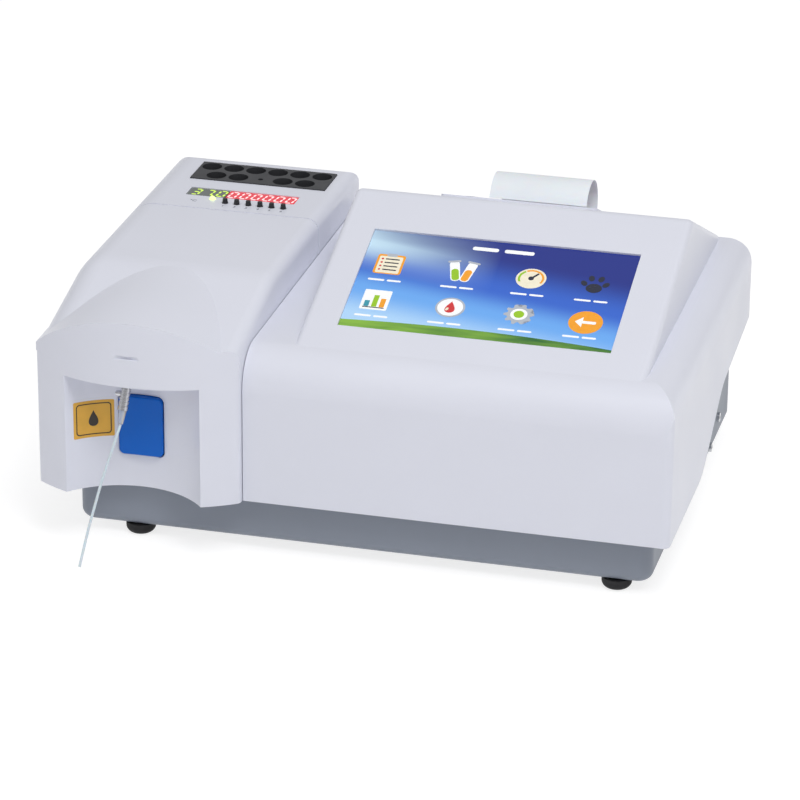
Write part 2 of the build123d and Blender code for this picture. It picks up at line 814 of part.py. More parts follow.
def fan_frame():
    """The square fan frame with its motor boss on three arms."""
    y0, y1 = rear_inner - fan_depth, rear_inner
    frame = block(span(fan_x, fan_size), (y0, y1), span(fan_z, fan_size))
    frame = fillet(frame.edges().filter_by(Axis.Y), 4)
    frame -= rod((fan_x, y0 - 1, fan_z), (fan_x, y1 + 1, fan_z), fan_size / 2 - 2)
    for n in range(3):
        arm = block((0, fan_size / 2 - 1), (y0, y0 + 2), span(0, 3))
        frame += Pos(fan_x, 0, fan_z) * Rot(0, 30 + 120 * n, 0) * arm
    frame += rod((fan_x, y0, fan_z), (fan_x, y0 + 3, fan_z), fan_hub_radius)
    frame += rod((fan_x, y0, fan_z), (fan_x, y1 - 3, fan_z), 2.0)
    for x in (-1, 1):
        for z in (-1, 1):
            hole = (fan_x + x * 25, fan_z + z * 25)
            frame -= rod((hole[0], y0 - 1, hole[1]), (hole[0], y1 + 1, hole[1]), 2.1)
    return frame


def fan_rotor():
    """Hub and pitched blades of the fan, running on the frame's spindle."""
    y0, y1 = rear_inner - fan_depth + 3.4, rear_inner - 1.2
    rotor = rod((fan_x, y0, fan_z), (fan_x, y1, fan_z), fan_hub_radius)
    reach = fan_size / 2 - 3.2
    middle = (fan_hub_radius + reach) / 2 - 0.5
    blade = Pos(middle, 0, 0) * Rot(38, 0, 0) * Box(reach - fan_hub_radius + 1, 1.2, 13)
    edge = rod((0, -5.2, 0), (0, 5.2, 0), reach)
    for n in range(fan_blades):
        turned = Rot(0, 360 / fan_blades * n, 0) * (blade & edge)
        rotor += Pos(fan_x, (y0 + y1) / 2, fan_z) * turned
    return rotor - rod((fan_x, y0 - 1, fan_z), (fan_x, y1 - 1.5, fan_z), 2.0 + running_fit)


def fan_guard():
    """Stamped finger guard over the fan: rings on a cross, held at four corners."""
    y0, y1 = rear_face, rear_face + 1.5
    guard = None
    for outer in (8, 14.5, 21, 27.5):
        ring = rod((fan_x, y0, fan_z), (fan_x, y1, fan_z), outer)
        ring -= rod((fan_x, y0 - 1, fan_z), (fan_x, y1 + 1, fan_z), outer - 1.8)
        guard = ring if guard is None else guard + ring
    for turn in (45, 135):
        arm = Pos(fan_x, 0, fan_z) * Rot(0, turn, 0)
        arm *= block(span(0, 77), (y0, y1), span(0, 3.6))
        guard += arm
    for x in (-1, 1):
        for z in (-1, 1):
            hole = (fan_x + x * 25, fan_z + z * 25)
            guard += rod((hole[0], y0, hole[1]), (hole[0], y1 + 1.4, hole[1]), 3.0)
    return guard


def power_inlet():
    """Mains inlet with its three blades in an open socket."""
    flange = block(span(inlet_x, 34), (rear_face, rear_face + 2.4), span(inlet_z, 25))
    flange = fillet(flange.edges().filter_by(Axis.Y), 2)
    body = flange + block(span(inlet_x, 27.8), (rear_inner - 20, rear_face), span(inlet_z, 19.8))
    body -= block(span(inlet_x, 24), (rear_face - 15, rear_face + 5), span(inlet_z, 16.4))
    for x, z in ((-7, -2.5), (7, -2.5), (0, 1.5)):
        blade = block(span(inlet_x + x, 2), (rear_face - 16, rear_face - 2), span(inlet_z + z, 4))
        body += blade
    return body


def switch_frame():
    """Frame of the power switch with the two bores for the rocker's stubs."""
    frame = block(span(rocker_x, 17), (rear_face, rear_face + 1.8), span(inlet_z, 23))
    frame += block(span(rocker_x, 13.2), (rear_inner - 10, rear_face), span(inlet_z, 19.4))
    frame -= block(span(rocker_x, 10.4), (rear_face - 8.5, rear_face + 3), span(inlet_z, 17))
    y = rear_face - 1.5
    return frame - rod((rocker_x - 6, y, inlet_z), (rocker_x + 6, y, inlet_z), 1.0 + running_fit)


def rocker_switch():
    """The rocker on its two stubs, tipped to the off side."""
    y = rear_face - 1.5
    face = side_prism(
        [(y - 3, inlet_z - 7.2), (y + 3.6, inlet_z - 7.8), (y + 2.4, inlet_z), (y + 3.6, inlet_z + 7.8),
         (y - 3, inlet_z + 7.2)],
        [0, 0, 20, 0, 0],
        rocker_x - 4.8,
        rocker_x + 4.8,
    )
    face += rod((rocker_x - 5.9, y, inlet_z), (rocker_x + 5.9, y, inlet_z), 1.0)
    return Pos(0, y, inlet_z) * Rot(rocker_tilt, 0, 0) * Pos(0, -y, -inlet_z) * face


def signal_ports():
    """A nine-way connector and a data socket beside it, on one small board."""
    shell = block(span(port_x, 31), (rear_face, rear_face + 1.2), span(port_z, 12.4))
    shell += block(span(port_x, 30), (rear_inner - 8, rear_face), span(port_z, 11))
    plug = front_prism(
        [(port_x - 8.6, port_z - 4), (port_x + 8.6, port_z - 4), (port_x + 9.6, port_z + 4), (port_x - 9.6, port_z + 4)],
        [1.5] * 4,
        rear_face + 0.5,
        rear_face + 6,
    )
    shell += plug
    for side in (-1, 1):
        x = port_x + side * 12.5
        shell += rod((x, rear_face, port_z), (x, rear_face + 5, port_z), 2.6)
    socket_x = port_x + 38
    socket = block(span(socket_x, 14.2), (rear_inner - 12, rear_face + 0.8), span(port_z, 7))
    socket -= block(span(socket_x, 12.6), (rear_face - 10, rear_face + 2), span(port_z, 5.4))
    board = block((port_x - 14, socket_x + 6), (rear_inner - 12, rear_inner - 4), (port_z - 7.1, port_z - 5.5))
    board += block(span(socket_x, 12), (rear_inner - 12, rear_inner - 4), (port_z - 5.5, port_z - 3.5))
    return shell + socket + board


def waste_fitting():
    """The barbed outlet for the waste line."""
    y = rear_face
    fitting = rod((waste_x, rear_inner - 8, waste_z), (waste_x, y, waste_z), 4.0)
    fitting += rod((waste_x, y, waste_z), (waste_x, y + 3, waste_z), 6.0)
    fitting += rod((waste_x, y, waste_z), (waste_x, waste_reach, waste_z), 2.2)
    for n in range(2):
        end = waste_reach - 4.0 * n
        barb = Plane(origin=(waste_x, end, waste_z), z_dir=(0, -1, 0))
        fitting += Solid.make_cone(2.2, 3.1, 3.2, barb)
    return fitting - rod((waste_x, rear_inner - 9, waste_z), (waste_x, waste_reach + 1, waste_z), 1.2)


def ground_post():
    """Earth stud with its nut and washer."""
    y = rear_face
    post = rod((ground_x, rear_inner - 6, ground_z), (ground_x, y + 8, ground_z), 2.0)
    post += rod((ground_x, y, ground_z), (ground_x, y + 1, ground_z), 5.0)
    nut = extrude(Plane(origin=(ground_x, y + 1, ground_z), z_dir=(0, 1, 0)) * RegularPolygon(4.2, 6), amount=3.2)
    return post + nut


def printer_frame():
    """The printer's bezel and tub on the back slope, with the well for the roll."""
    half_w, half_l = bezel_width / 2, bezel_length / 2
    bezel = printer_plane * Pos(0, 0, bezel_proud) * rounded_bar(bezel_width, bezel_length, bezel_proud, 3)
    tub = on_printer((-half_w + 2.3, half_w - 2.3), (-half_l + 2.3, half_l - 2.3), (-printer_depth, 0))
    frame = bezel + tub
    left, right = well_left, well_right
    front = paper_place - printer_wall
    floor = -printer_depth + 2.2
    frame -= on_printer((left, right), (front, well_end), (floor, 5))
    head = (front - head_depth, front + 1)
    frame -= on_printer(span(paper_u, paper_width + 0.6), head, (-16.3, -2.5))
    outer = half_w - 2.3 - printer_wall
    end = half_l - 2.3 - printer_wall
    under = (-printer_depth - 1, -3.0)
    frame -= on_printer((-outer, left - printer_wall), (-end, end), under)
    frame -= on_printer((left, outer), (-end, head[0] - printer_wall), under)
    frame -= printer_plane * Pos(*feed_place, 0) * Cylinder(feed_key_radius + 0.4, 20)
    frame -= printer_plane * Pos(feed_place[0], feed_place[1] - 13, 1.6) * Cylinder(1.5, 2)
    pin = (left - 1.7, right + 1.7)
    frame -= printer_rod(pin, lid_pin_place, lid_pin_radius + running_fit)
    return frame


def printer_rod(across, place, radius):
    """A bar across the printer at a place given down and out of the slope."""
    bar = Rot(0, 90, 0) * Cylinder(radius, across[1] - across[0])
    return printer_plane * Pos((across[0] + across[1]) / 2, *place) * bar


def printer_door():
    """The lid over the roll: plate, two cheeks for the platen, two knuckles on the pin."""
    top = bezel_proud
    under = top - lid_thickness
    lid = on_printer((lid_left, lid_right), (-0.8, lid_pin_place[0] + 2.4), (under, top))
    lid = fillet(lid.edges().filter_by(Axis.X).sort_by(Axis.Y)[:2].sort_by(Axis.Z)[-1:], 1.0)
    for x0 in (lid_left, lid_right - cheek):
        side = (x0, x0 + cheek)
        plate = on_printer(side, (platen_place[0] - 3.3, 8.5), (platen_place[1] - 3.5, under + 0.5))
        plate += on_printer(side, (0.2, lid_pin_place[0]), (under - 2.5, under + 0.5))
        plate += printer_rod(side, lid_pin_place, 3.4)
        lid += plate
    lid += on_printer((paper_u - 9, paper_u + 9), (4, 5.4), (top - 0.4, top + 0.8))
    across = (lid_left - 1, lid_right + 1)
    lid -= printer_rod(across, lid_pin_place, lid_pin_radius + running_fit)
    return lid - printer_rod(across, platen_place, 1.5 + running_fit)


def lid_pin():
    """The pin of the printer's lid."""
    return printer_rod((well_left - 1.6, well_right + 1.6), lid_pin_place, lid_pin_radius)


def platen_roller():
    """The rubber roller in the lid that draws the paper."""
    roller = printer_rod((lid_left + cheek + 0.4, lid_right - cheek - 0.4), platen_place, platen_radius)
    return roller + printer_rod((lid_left, lid_right), platen_place, 1.5)


def print_head():
    """The thermal head and its heat sink in the frame."""
    front = paper_place - 0.5
    depth = printer_wall - 0.5 + head_depth
    body = on_printer(span(paper_u, paper_width), (front - depth, front), (-16.0, -2.8))
    for n in range(6):
        u = paper_u - 22 + 8.8 * n
        body -= on_printer(span(u, 3), (front - depth - 1, front - 4), (-16.5, -8))
    return body


def roll_place():
    """Centre of the paper roll, down and out of the slope."""
    return (17.0, -printer_depth + 2.2 + 0.3 + roll_radius)


def paper_roll():
    """The roll of thermal paper on its core."""
    roll = printer_rod(span(paper_u, paper_width), roll_place(), roll_radius)
    return roll - printer_rod(span(paper_u, paper_width + 2), roll_place(), 6.0)


def paper_strip():
    """The paper from the roll through the head and over the back slope in a curl."""
    centre = roll_place()
    bend = (paper_place, -15.5)
    reach = (centre[0] - bend[0], centre[1] - bend[1])
    distance = hypot(*reach)
    grip = roll_radius + paper_thickness + 0.2
    direction = atan2(reach[1], reach[0]) - asin(grip / distance)
    run = sqrt(distance**2 - grip**2)
    touch = (bend[0] + run * cos(direction), bend[1] + run * sin(direction))
    mouth = (paper_place, bezel_proud)
    hub = (mouth[0] - curl_radius, mouth[1])
    ends = radians(curl_angle())
    middle = (hub[0] + curl_radius * cos(ends / 2), hub[1] + curl_radius * sin(ends / 2))
    last = (hub[0] + curl_radius * cos(ends), hub[1] + curl_radius * sin(ends))
    lower = FilletPolyline(touch, bend, mouth, radius=[4.0])
    curl = ThreePointArc(mouth, middle, last)
    path = Wire(lower.edges() + curl.edges())
    band = trace(path.edges(), paper_thickness)
    strip = extrude(Plane.YZ * band, amount=paper_width / 2, both=True)
    return printer_plane * Pos(paper_u, 0, 0) * strip


def curl_angle():
    """How far the paper curls round before it rests on the bezel, in degrees."""
    clear = 0.3 + paper_thickness
    return 180 - degrees(asin(clear / curl_radius))


def feed_key():
    """The printer's paper feed key with its foot under the bezel."""
    stem = printer_plane * Pos(*feed_place, -0.4) * Cylinder(feed_key_radius, 7.6)
    foot = printer_plane * Pos(*feed_place, -4.7) * Cylinder(feed_key_radius + 1, 1.2)
    return stem + foot


def optical_bench():
    """The cast plate that carries the light path."""
    plate = block((-157, -74), (-70, 74), (bench_top - bench_thickness, bench_top))
    plate = fillet(plate.edges().filter_by(Axis.Z), 6)
    return plate - block((-98, -84), (-50, 50), (0, 100))


def lamp_housing():
    """The finned lamp house with the snout that holds the condenser lens."""
    house = block(span(light_x, 32), (42, 72), (bench_top, bench_top + 44))
    for n in range(5):
        house -= block((light_x - 17, light_x + 17), (60, 73), span(bench_top + 8 + 7 * n, 3))
    house += rod((light_x, 30, light_z), (light_x, 42, light_z), 11)
    house += block(span(light_x, 14), (30, 42), (bench_top, light_z))
    house -= rod((light_x, 29, light_z), (light_x, 58, light_z), 8)
    return house


def halogen_lamp():
    """The lamp capsule and its base in the house."""
    base = rod((light_x, 52, light_z), (light_x, 58, light_z), 7.9)
    bulb = rod((light_x, 44, light_z), (light_x, 52, light_z), 4.5)
    return base + bulb + Pos(light_x, 44, light_z) * Sphere(4.5)


def condenser_lens():
    """The lens in the snout."""
    lens = rod((light_x, 32, light_z), (light_x, 35, light_z), 7.9)
    ball = Pos(light_x, 32 + 22, light_z) * Sphere(22 + 2.2)
    return lens + (ball & rod((light_x, 28, light_z), (light_x, 34, light_z), 7.9))


def filter_wheel():
    """The wheel with its eight seats and its shaft into the motor."""
    x = light_x + filter_pitch_radius
    y0, y1 = span(wheel_y, wheel_thickness)
    wheel = rod((x, y0, light_z), (x, y1, light_z), wheel_radius)
    for n in range(filter_places):
        place = filter_place(n)
        wheel -= rod((place[0], y0 - 1, place[1]), (place[0], y1 + 1, place[1]), filter_radius - 0.8)
        if n < filter_count:
            wheel -= rod((place[0], y0 + 1.5, place[1]), (place[0], y1 + 1, place[1]), filter_radius)
    wheel += rod((x, y0 - 3, light_z), (x, y0, light_z), 6)
    return wheel + rod((x, y0 - 12, light_z), (x, y0, light_z), 2.0)


def filter_place(n):
    """Centre of a filter seat in (x, z)."""
    angle = pi + 2 * pi * n / filter_places
    x = light_x + filter_pitch_radius
    return (x + filter_pitch_radius * cos(angle), light_z + filter_pitch_radius * sin(angle))


def filter_glasses():
    """The seven interference filters in the wheel."""
    y0, y1 = span(wheel_y, wheel_thickness)
    glasses = []
    for n in range(filter_count):
        x, z = filter_place(n)
        glasses.append(rod((x, y0 + 1.5, z), (x, y1 - 0.5, z), filter_radius - 0.05))
    return Compound(children=glasses)


def filter_motor():
    """The stepper behind the wheel, on its foot."""
    x = light_x + filter_pitch_radius
    y1 = wheel_y - wheel_thickness / 2 - 3.6
    y0 = y1 - 22
    motor = rod((x, y0, light_z), (x, y1, light_z), 13)
    motor += block(span(x, 22), (y0, y0 + 16), (bench_top, light_z))
    return motor - rod((x, y1 - 11, light_z), (x, y1 + 1, light_z), 2.0 + running_fit)


def flow_cell_block():
    """The tempered block that holds the flow cell in the light."""
    y = -24.0
    cell = block(span(light_x, 20), span(y, 16), (bench_top, light_z + 14))
    cell -= rod((light_x, y - 9, light_z), (light_x, y + 9, light_z), 2.5)
    cell += rod((light_x, y, light_z + 13), (light_x, y, light_z + 22), 3.0)
    return cell - rod((light_x, y, light_z - 8), (light_x, y, light_z + 23), 1.0)


def detector():
    """The photodiode can on its board, on its foot."""
    y = -46.0
    board = block(span(light_x, 30), (y - 1.6, y), (bench_top, light_z + 16))
    board += rod((light_x, y, light_z), (light_x, y + 6, light_z), 5)
    return board + block(span(light_x, 34), (y - 8, y - 1.6), (bench_top, bench_top + 8))


def pump_housing():
    """The pump head on the rear panel, open to the front where its rotor sits."""
    y0, y1 = rear_inner - 22, rear_inner
    house = block(span(pump_x, 46), (y0, y1), span(pump_z, 46))
    house = fillet(house.edges().filter_by(Axis.Y), 6)
    house -= rod((pump_x, y0 - 1, pump_z), (pump_x, y0 + 14, pump_z), pump_reach + 4.6)
    for side in (-1, 1):
        x = pump_x + side * (pump_reach + 2.3)
        house -= block(span(x, 4.6), (y0 + 4, y0 + 10), (pump_z - 24, pump_z))
    return house - rod((pump_x, y0 + 13, pump_z), (pump_x, y0 + 20, pump_z), 3.0 + running_fit)


def pump_rotor():
    """The pump's rotor: a disc with three pins, on its shaft."""
    y0 = rear_inner - 22
    rotor = rod((pump_x, y0 + 10.6, pump_z), (pump_x, y0 + 13.4, pump_z), pump_reach - 1)
    rotor += rod((pump_x, y0 + 13, pump_z), (pump_x, y0 + 19, pump_z), 3.0)
    rotor += rod((pump_x, y0 + 1, pump_z), (pump_x, y0 + 11, pump_z), 4.0)
    for n in range(pump_rollers):
        x, z = pump_roller_place(n)
        rotor += rod((x, y0 + 2, z), (x, y0 + 11, z), 1.2)
    return rotor


def pump_roller_place(n):
    """Centre of a pump roller in (x, z)."""
    angle = pi / 2 + 2 * pi * n / pump_rollers
    reach = pump_reach - pump_roller_radius
    return (pump_x + reach * cos(angle), pump_z + reach * sin(angle))


def pump_roller(n):
    """One roller of the pump on its pin."""
    y0 = rear_inner - 22
    x, z = pump_roller_place(n)
    roller = rod((x, y0 + 2.4, z), (x, y0 + 10.2, z), pump_roller_radius)
    return roller - rod((x, y0, z), (x, y0 + 12, z), 1.2 + running_fit)


def pump_tube():
    """The soft tube that the rollers squeeze, in a half turn round the rotor."""
    y = rear_inner - 22 + 7
    radius = pump_reach + 2.3
    arc = ThreePointArc((pump_x + radius, y, pump_z), (pump_x, y, pump_z + radius), (pump_x - radius, y, pump_z))
    legs = []
    for side in (-1, 1):
        x = pump_x + side * radius
        legs.append(Line((x, y, pump_z), (x, y, pump_z - 26)))
    path = Wire(legs[1].edges() + arc.edges() + legs[0].edges())
    return sweep(Plane(origin=path @ 0, z_dir=path % 0) * Circle(2.0), path)


def main_board():
    """The main board on its posts with its larger parts."""
    board = block(main_board_x, main_board_y, (main_board_z, main_board_z + board_thickness))
    top = main_board_z + board_thickness
    for x, y, w, d, h in ((-10, -70, 24, 24, 3), (40, -60, 18, 18, 3), (90, -80, 30, 10, 9), (-30, -20, 10, 34, 9)):
        board += block(span(x, w), span(y, d), (top - 0.2, top + h))
    for x in (60, 76, 92):
        board += rod((x, -25, top - 0.2), (x, -25, top + 14), 6)
    return board


def power_supply():
    """The caged power supply on the tray's floor."""
    cage = block((72, 158), (14, 96), (tray_top, tray_top + 34))
    cage -= block((74, 156), (16, 94), (tray_top + 2, tray_top + 32))
    for n in range(7):
        cage -= block(span(82 + 11 * n, 5), (24, 86), (tray_top + 30, tray_top + 40))
    core = block((90, 120), (30, 60), (tray_top + 2, tray_top + 26))
    bank = rod((136, 74, tray_top + 2), (136, 74, tray_top + 28), 9)
    return cage + core + bank


def main():
    """Write every piece."""
    os.makedirs("parts", exist_ok=True)
    save("base_tray", base_tray())
    save("rubber_feet", rubber_feet())
    save("side_screws", side_screws())
    save("console_cover", console_cover())
    save("sampler_hood", sampler_hood())
    save("screen_glass", screen_glass())
    save("screen_module", screen_module())
    save("incubator_block", incubator_block())
    save("heater_plate", heater_plate())
    save("temperature_display", display(display_left, display_split - 0.2))
    save("timer_display", display(display_split + 0.2, display_right))
    save("status_lamp", status_lamp())
    save("key_board", key_board())
    for n in range(timer_key_count):
        save(f"timer_key_{n + 1}", timer_key(n))
    save("aspirate_key", aspirate_key())
    save("key_pin", key_pin())
    save("micro_switch", micro_switch())
    save("nozzle_sleeve", nozzle_sleeve())
    save("nozzle_tip", nozzle_tip())
    save("sipper_tube", sipper_tube())
    save("optical_bench", optical_bench())
    save("lamp_housing", lamp_housing())
    save("halogen_lamp", halogen_lamp())
    save("condenser_lens", condenser_lens())
    save("filter_wheel", filter_wheel())
    save("filter_glasses", filter_glasses())
    save("filter_motor", filter_motor())
    save("flow_cell_block", flow_cell_block())
    save("detector", detector())
    save("pump_housing", pump_housing())
    save("pump_rotor", pump_rotor())
    for n in range(pump_rollers):
        save(f"pump_roller_{n + 1}", pump_roller(n))
    save("pump_tube", pump_tube())
    save("main_board", main_board())
    save("power_supply", power_supply())
    save("rear_panel", rear_panel())
    save("fan_frame", fan_frame())
    save("fan_rotor", fan_rotor())
    save("fan_guard", fan_guard())
    save("power_inlet", power_inlet())
    save("switch_frame", switch_frame())
    save("rocker_switch", rocker_switch())
    save("signal_ports", signal_ports())
    save("waste_fitting", waste_fitting())
    save("ground_post", ground_post())
    save("printer_frame", printer_frame())
    save("printer_door", printer_door())
    save("lid_pin", lid_pin())
    save("platen_roller", platen_roller())
    save("print_head", print_head())
    save("paper_roll", paper_roll())
    save("paper_strip", paper_strip())
    save("feed_key", feed_key())


if __name__ == "__main__":
    main()
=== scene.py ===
"""Dresses the bench-top blood analyzer: finishes, screen, readouts, marks and stage."""

from math import ceil, cos, hypot, pi, radians, sin

import bmesh
import bpy
from bpy.props import FloatProperty, FloatVectorProperty, IntProperty, PointerProperty
from mathutils import Matrix, Vector


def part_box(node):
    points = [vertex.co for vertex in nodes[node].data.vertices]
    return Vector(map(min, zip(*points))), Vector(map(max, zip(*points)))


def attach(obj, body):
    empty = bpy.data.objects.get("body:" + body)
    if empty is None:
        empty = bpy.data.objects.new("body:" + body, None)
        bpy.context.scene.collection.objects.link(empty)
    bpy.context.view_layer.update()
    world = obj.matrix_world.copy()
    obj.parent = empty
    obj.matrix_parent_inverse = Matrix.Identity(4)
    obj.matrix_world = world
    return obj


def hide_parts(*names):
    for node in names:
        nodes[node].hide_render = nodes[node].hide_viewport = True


bl_info = {
    "name": "Blood Analyzer Dressing",
    "version": (1, 0, 0),
    "blender": (4, 5, 0),
    "location": "View3D > Sidebar > Analyzer",
    "description": "Finishes, screen, readouts, marks and stage for a bench-top blood analyzer",
    "category": "Object",
}

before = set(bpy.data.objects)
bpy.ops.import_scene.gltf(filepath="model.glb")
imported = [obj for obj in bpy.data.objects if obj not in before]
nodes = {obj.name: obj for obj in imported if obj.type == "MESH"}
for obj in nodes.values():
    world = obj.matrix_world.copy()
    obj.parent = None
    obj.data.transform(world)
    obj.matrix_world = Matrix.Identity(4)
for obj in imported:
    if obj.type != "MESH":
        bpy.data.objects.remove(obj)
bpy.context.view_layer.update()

mm = 0.001


def shade(red, green, blue):
    """A display colour, 0 to 255, as linear light."""
    channels = [c / 255 for c in (red, green, blue)]
    return tuple(c / 12.92 if c <= 0.04045 else ((c + 0.055) / 1.055) ** 2.4 for c in channels)


# Finishes


class Finish:
    """Builds one procedural material: mottled colour, uneven gloss and a fine grain in Object coordinates."""

    def __init__(self, name):
        self.material = bpy.data.materials.new(name)
        self.material.use_nodes = True
        self.nodes = self.material.node_tree.nodes
        self.links = self.material.node_tree.links
        self.shader = self.nodes["Principled BSDF"]
        self.place = self.nodes.new("ShaderNodeTexCoord").outputs["Object"]

    def noise(self, scale, detail=3.0, stretch=(1, 1, 1), roughness=0.5):
        """A noise value over the piece, stretched along the axes."""
        mapping = self.nodes.new("ShaderNodeMapping")
        mapping.inputs["Scale"].default_value = stretch
        self.links.new(self.place, mapping.inputs["Vector"])
        texture = self.nodes.new("ShaderNodeTexNoise")
        for label, number in (("Scale", scale), ("Detail", detail), ("Roughness", roughness)):
            texture.inputs[label].default_value = number
        self.links.new(mapping.outputs["Vector"], texture.inputs["Vector"])
        return texture.outputs["Fac"]

    def ramp(self, value, low, high):
        """A value between 0.3 and 0.7 spread over low to high."""
        spread = self.nodes.new("ShaderNodeMapRange")
        ends = {"From Min": 0.3, "From Max": 0.7, "To Min": low, "To Max": high}
        for label, number in ends.items():
            spread.inputs[label].default_value = number
        self.links.new(value, spread.inputs["Value"])
        return spread.outputs["Result"]

    def feed(self, socket, value):
        """Gives a socket an output, a colour or a number."""
        if isinstance(value, bpy.types.NodeSocket):
            self.links.new(value, socket)
        elif socket.type == "RGBA":
            socket.default_value = (*value, 1)
        else:
            socket.default_value = value

    def mix(self, factor, first, second):
        """Two colours mixed by a factor; each may be a colour or an output."""
        blend = self.nodes.new("ShaderNodeMix")
        blend.data_type = "RGBA"
        for name, value in (("Factor", factor), ("A", first), ("B", second)):
            self.feed(blend.inputs[name], value)
        return blend.outputs["Result"]

    def math(self, operation, first, second=0.0, third=0.0):
        """One step of arithmetic on values or outputs."""
        step = self.nodes.new("ShaderNodeMath")
        step.operation = operation
        for socket, value in zip(step.inputs, (first, second, third)):
            self.feed(socket, value)
        return step.outputs["Value"]

    def colour(self, value):
        """Sets the colour, from a colour or an output."""
        self.feed(self.shader.inputs["Base Color"], value)
        return self

    def gloss(self, value):
        """Sets the roughness, from a number or an output."""
        self.feed(self.shader.inputs["Roughness"], value)
        return self

    def grain(self, height, strength, distance):
        """Raises the surface by a texture, at a depth in metres."""
        bump = self.nodes.new("ShaderNodeBump")
        bump.inputs["Strength"].default_value = strength
        bump.inputs["Distance"].default_value = distance
        self.links.new(height, bump.inputs["Height"])
        self.links.new(bump.outputs["Normal"], self.shader.inputs["Normal"])
        return self

    def set(self, **values):
        """Plain numbers on the shader's own sockets, named with underscores."""
        for name, value in values.items():
            self.shader.inputs[name.replace("_", " ")].default_value = value
        return self


def even_finish(
    name,
    colour,
    gloss,
    mottle=0.04,
    patch=14.0,
    grain=900.0,
    depth=0.00002,
    stretch=(1, 1, 1),
    strength=0.25,
    **values,
):
    """A plain surface with slight mottling, uneven gloss and a fine grain."""
    finish = Finish(name)
    darker = tuple(c * (1 - mottle) for c in colour)
    lighter = tuple(min(c * (1 + mottle), 1) for c in colour)
    broad = finish.noise(patch, stretch=stretch)
    finish.colour(finish.mix(finish.ramp(broad, 0.0, 1.0), darker, lighter))
    finish.gloss(finish.ramp(finish.noise(patch * 3, stretch=stretch), gloss * 0.88, min(gloss * 1.12, 1)))
    finish.grain(finish.noise(grain, 2.0, stretch), strength, depth)
    return finish.set(**values)


def moulded(name, colour, gloss=0.36, **more):
    """Moulded plastic with a faint spark texture."""
    look = {"mottle": 0.012, "patch": 9.0, "grain": 1500.0, "depth": 0.00001}
    return even_finish(name, colour, gloss, **look, **more).material


def painted(name, colour, gloss=0.45):
    """Satin powder coat with a fine orange peel."""
    look = {"mottle": 0.03, "patch": 12.0, "grain": 700.0, "depth": 0.00003, "strength": 0.35}
    return even_finish(name, colour, gloss, **look).material


def brushed(name, colour, gloss=0.3, stretch=(1, 1, 18)):
    """Metal with fine drawn lines along one axis."""
    look = {"mottle": 0.08, "patch": 60.0, "grain": 260.0, "depth": 0.00002}
    return even_finish(name, colour, gloss, **look, stretch=stretch, Metallic=1.0).material


def rubbery(name, colour, gloss=0.75):
    """Matt rubber with a soft grain."""
    look = {"mottle": 0.15, "patch": 40.0, "grain": 2200.0, "depth": 0.00004, "strength": 0.5}
    return even_finish(name, colour, gloss, **look).material


def clear(name, colour, gloss=0.06, weight=0.92):
    """Clear or tinted glass."""
    look = {"mottle": 0.02, "patch": 20.0, "grain": 30.0, "depth": 0.000002}
    return even_finish(name, colour, gloss, **look, IOR=1.48, Transmission_Weight=weight).material


def board_finish(name):
    """Green solder mask with fine tracks."""
    finish = Finish(name)
    brick = finish.nodes.new("ShaderNodeTexBrick")
    brick.inputs["Scale"].default_value = 160.0
    brick.inputs["Mortar Size"].default_value = 0.05
    brick.inputs["Color1"].default_value = (*shade(18, 84, 50), 1)
    brick.inputs["Color2"].default_value = (*shade(14, 70, 44), 1)
    brick.inputs["Mortar"].default_value = (*shade(46, 120, 70), 1)
    finish.links.new(finish.place, brick.inputs["Vector"])
    finish.colour(brick.outputs["Color"])
    finish.gloss(finish.ramp(finish.noise(90), 0.3, 0.5))
    return finish.grain(brick.outputs["Fac"], 0.3, 0.0001).material


def lit(name, colour, glow, gloss=0.25):
    """A lit lens or segment."""
    finish = even_finish(name, colour, gloss, mottle=0.05, patch=300.0, grain=900.0)
    finish.shader.inputs["Emission Color"].default_value = (*colour, 1)
    return finish.set(Emission_Strength=glow).material


def paper_finish(name):
    """Thin coated paper with its fibres."""
    finish = even_finish(
        name, shade(240, 241, 246), 0.62, mottle=0.02, patch=30.0, grain=2600.0, depth=0.00003, strength=0.4
    )
    return finish.set(Subsurface_Weight=0.15, Subsurface_Scale=0.002).material


def paint_nodes(finishes):
    """Gives CAD nodes their finishes."""
    for name, material in finishes.items():
        slots = nodes[name].material_slots
        if not slots:
            nodes[name].data.materials.append(material)
        for entry in slots:
            entry.material = material


# Shapes


def tilted(origin, degrees):
    """A place in millimetres whose own Y runs up a slope towards the back."""
    return Matrix.Translation(Vector(origin) * mm) @ Matrix.Rotation(radians(degrees), 4, "X")


def rounded(cx, cy, width, height, radius, steps=6):
    """Outline of a rectangle with rounded corners."""
    points = []
    for n, (sx, sy) in enumerate(((1, 1), (-1, 1), (-1, -1), (1, -1))):
        for k in range(steps + 1):
            turn = pi / 2 * (n + k / steps)
            x = cx + sx * (width / 2 - radius) + radius * cos(turn)
            points.append((x, cy + sy * (height / 2 - radius) + radius * sin(turn)))
    return points


def disc(cx, cy, radius, steps=32, squash=1.0):
    """Outline of a disc or an ellipse."""
    turns = [2 * pi * n / steps for n in range(steps)]
    return [(cx + radius * cos(t), cy + squash * radius * sin(t)) for t in turns]


def arc_band(cx, cy, inner, outer, start, end, steps=28):
    """Outline of a part of a ring, between two angles in degrees."""
    turns = [radians(start + (end - start) * n / steps) for n in range(steps + 1)]
    out = [(cx + outer * cos(t), cy + outer * sin(t)) for t in turns]
    back = [(cx + inner * cos(t), cy + inner * sin(t)) for t in reversed(turns)]
    return out + back


def drop(cx, cy, size, steps=30):
    """Outline of a falling drop."""
    points = []
    for n in range(steps):
        turn = 2 * pi * n / steps
        width = sin(turn) * sin(turn / 2) ** 1.5
        points.append((cx + 0.62 * size * width, cy + 0.75 * size * cos(turn)))
    return points[::-1]


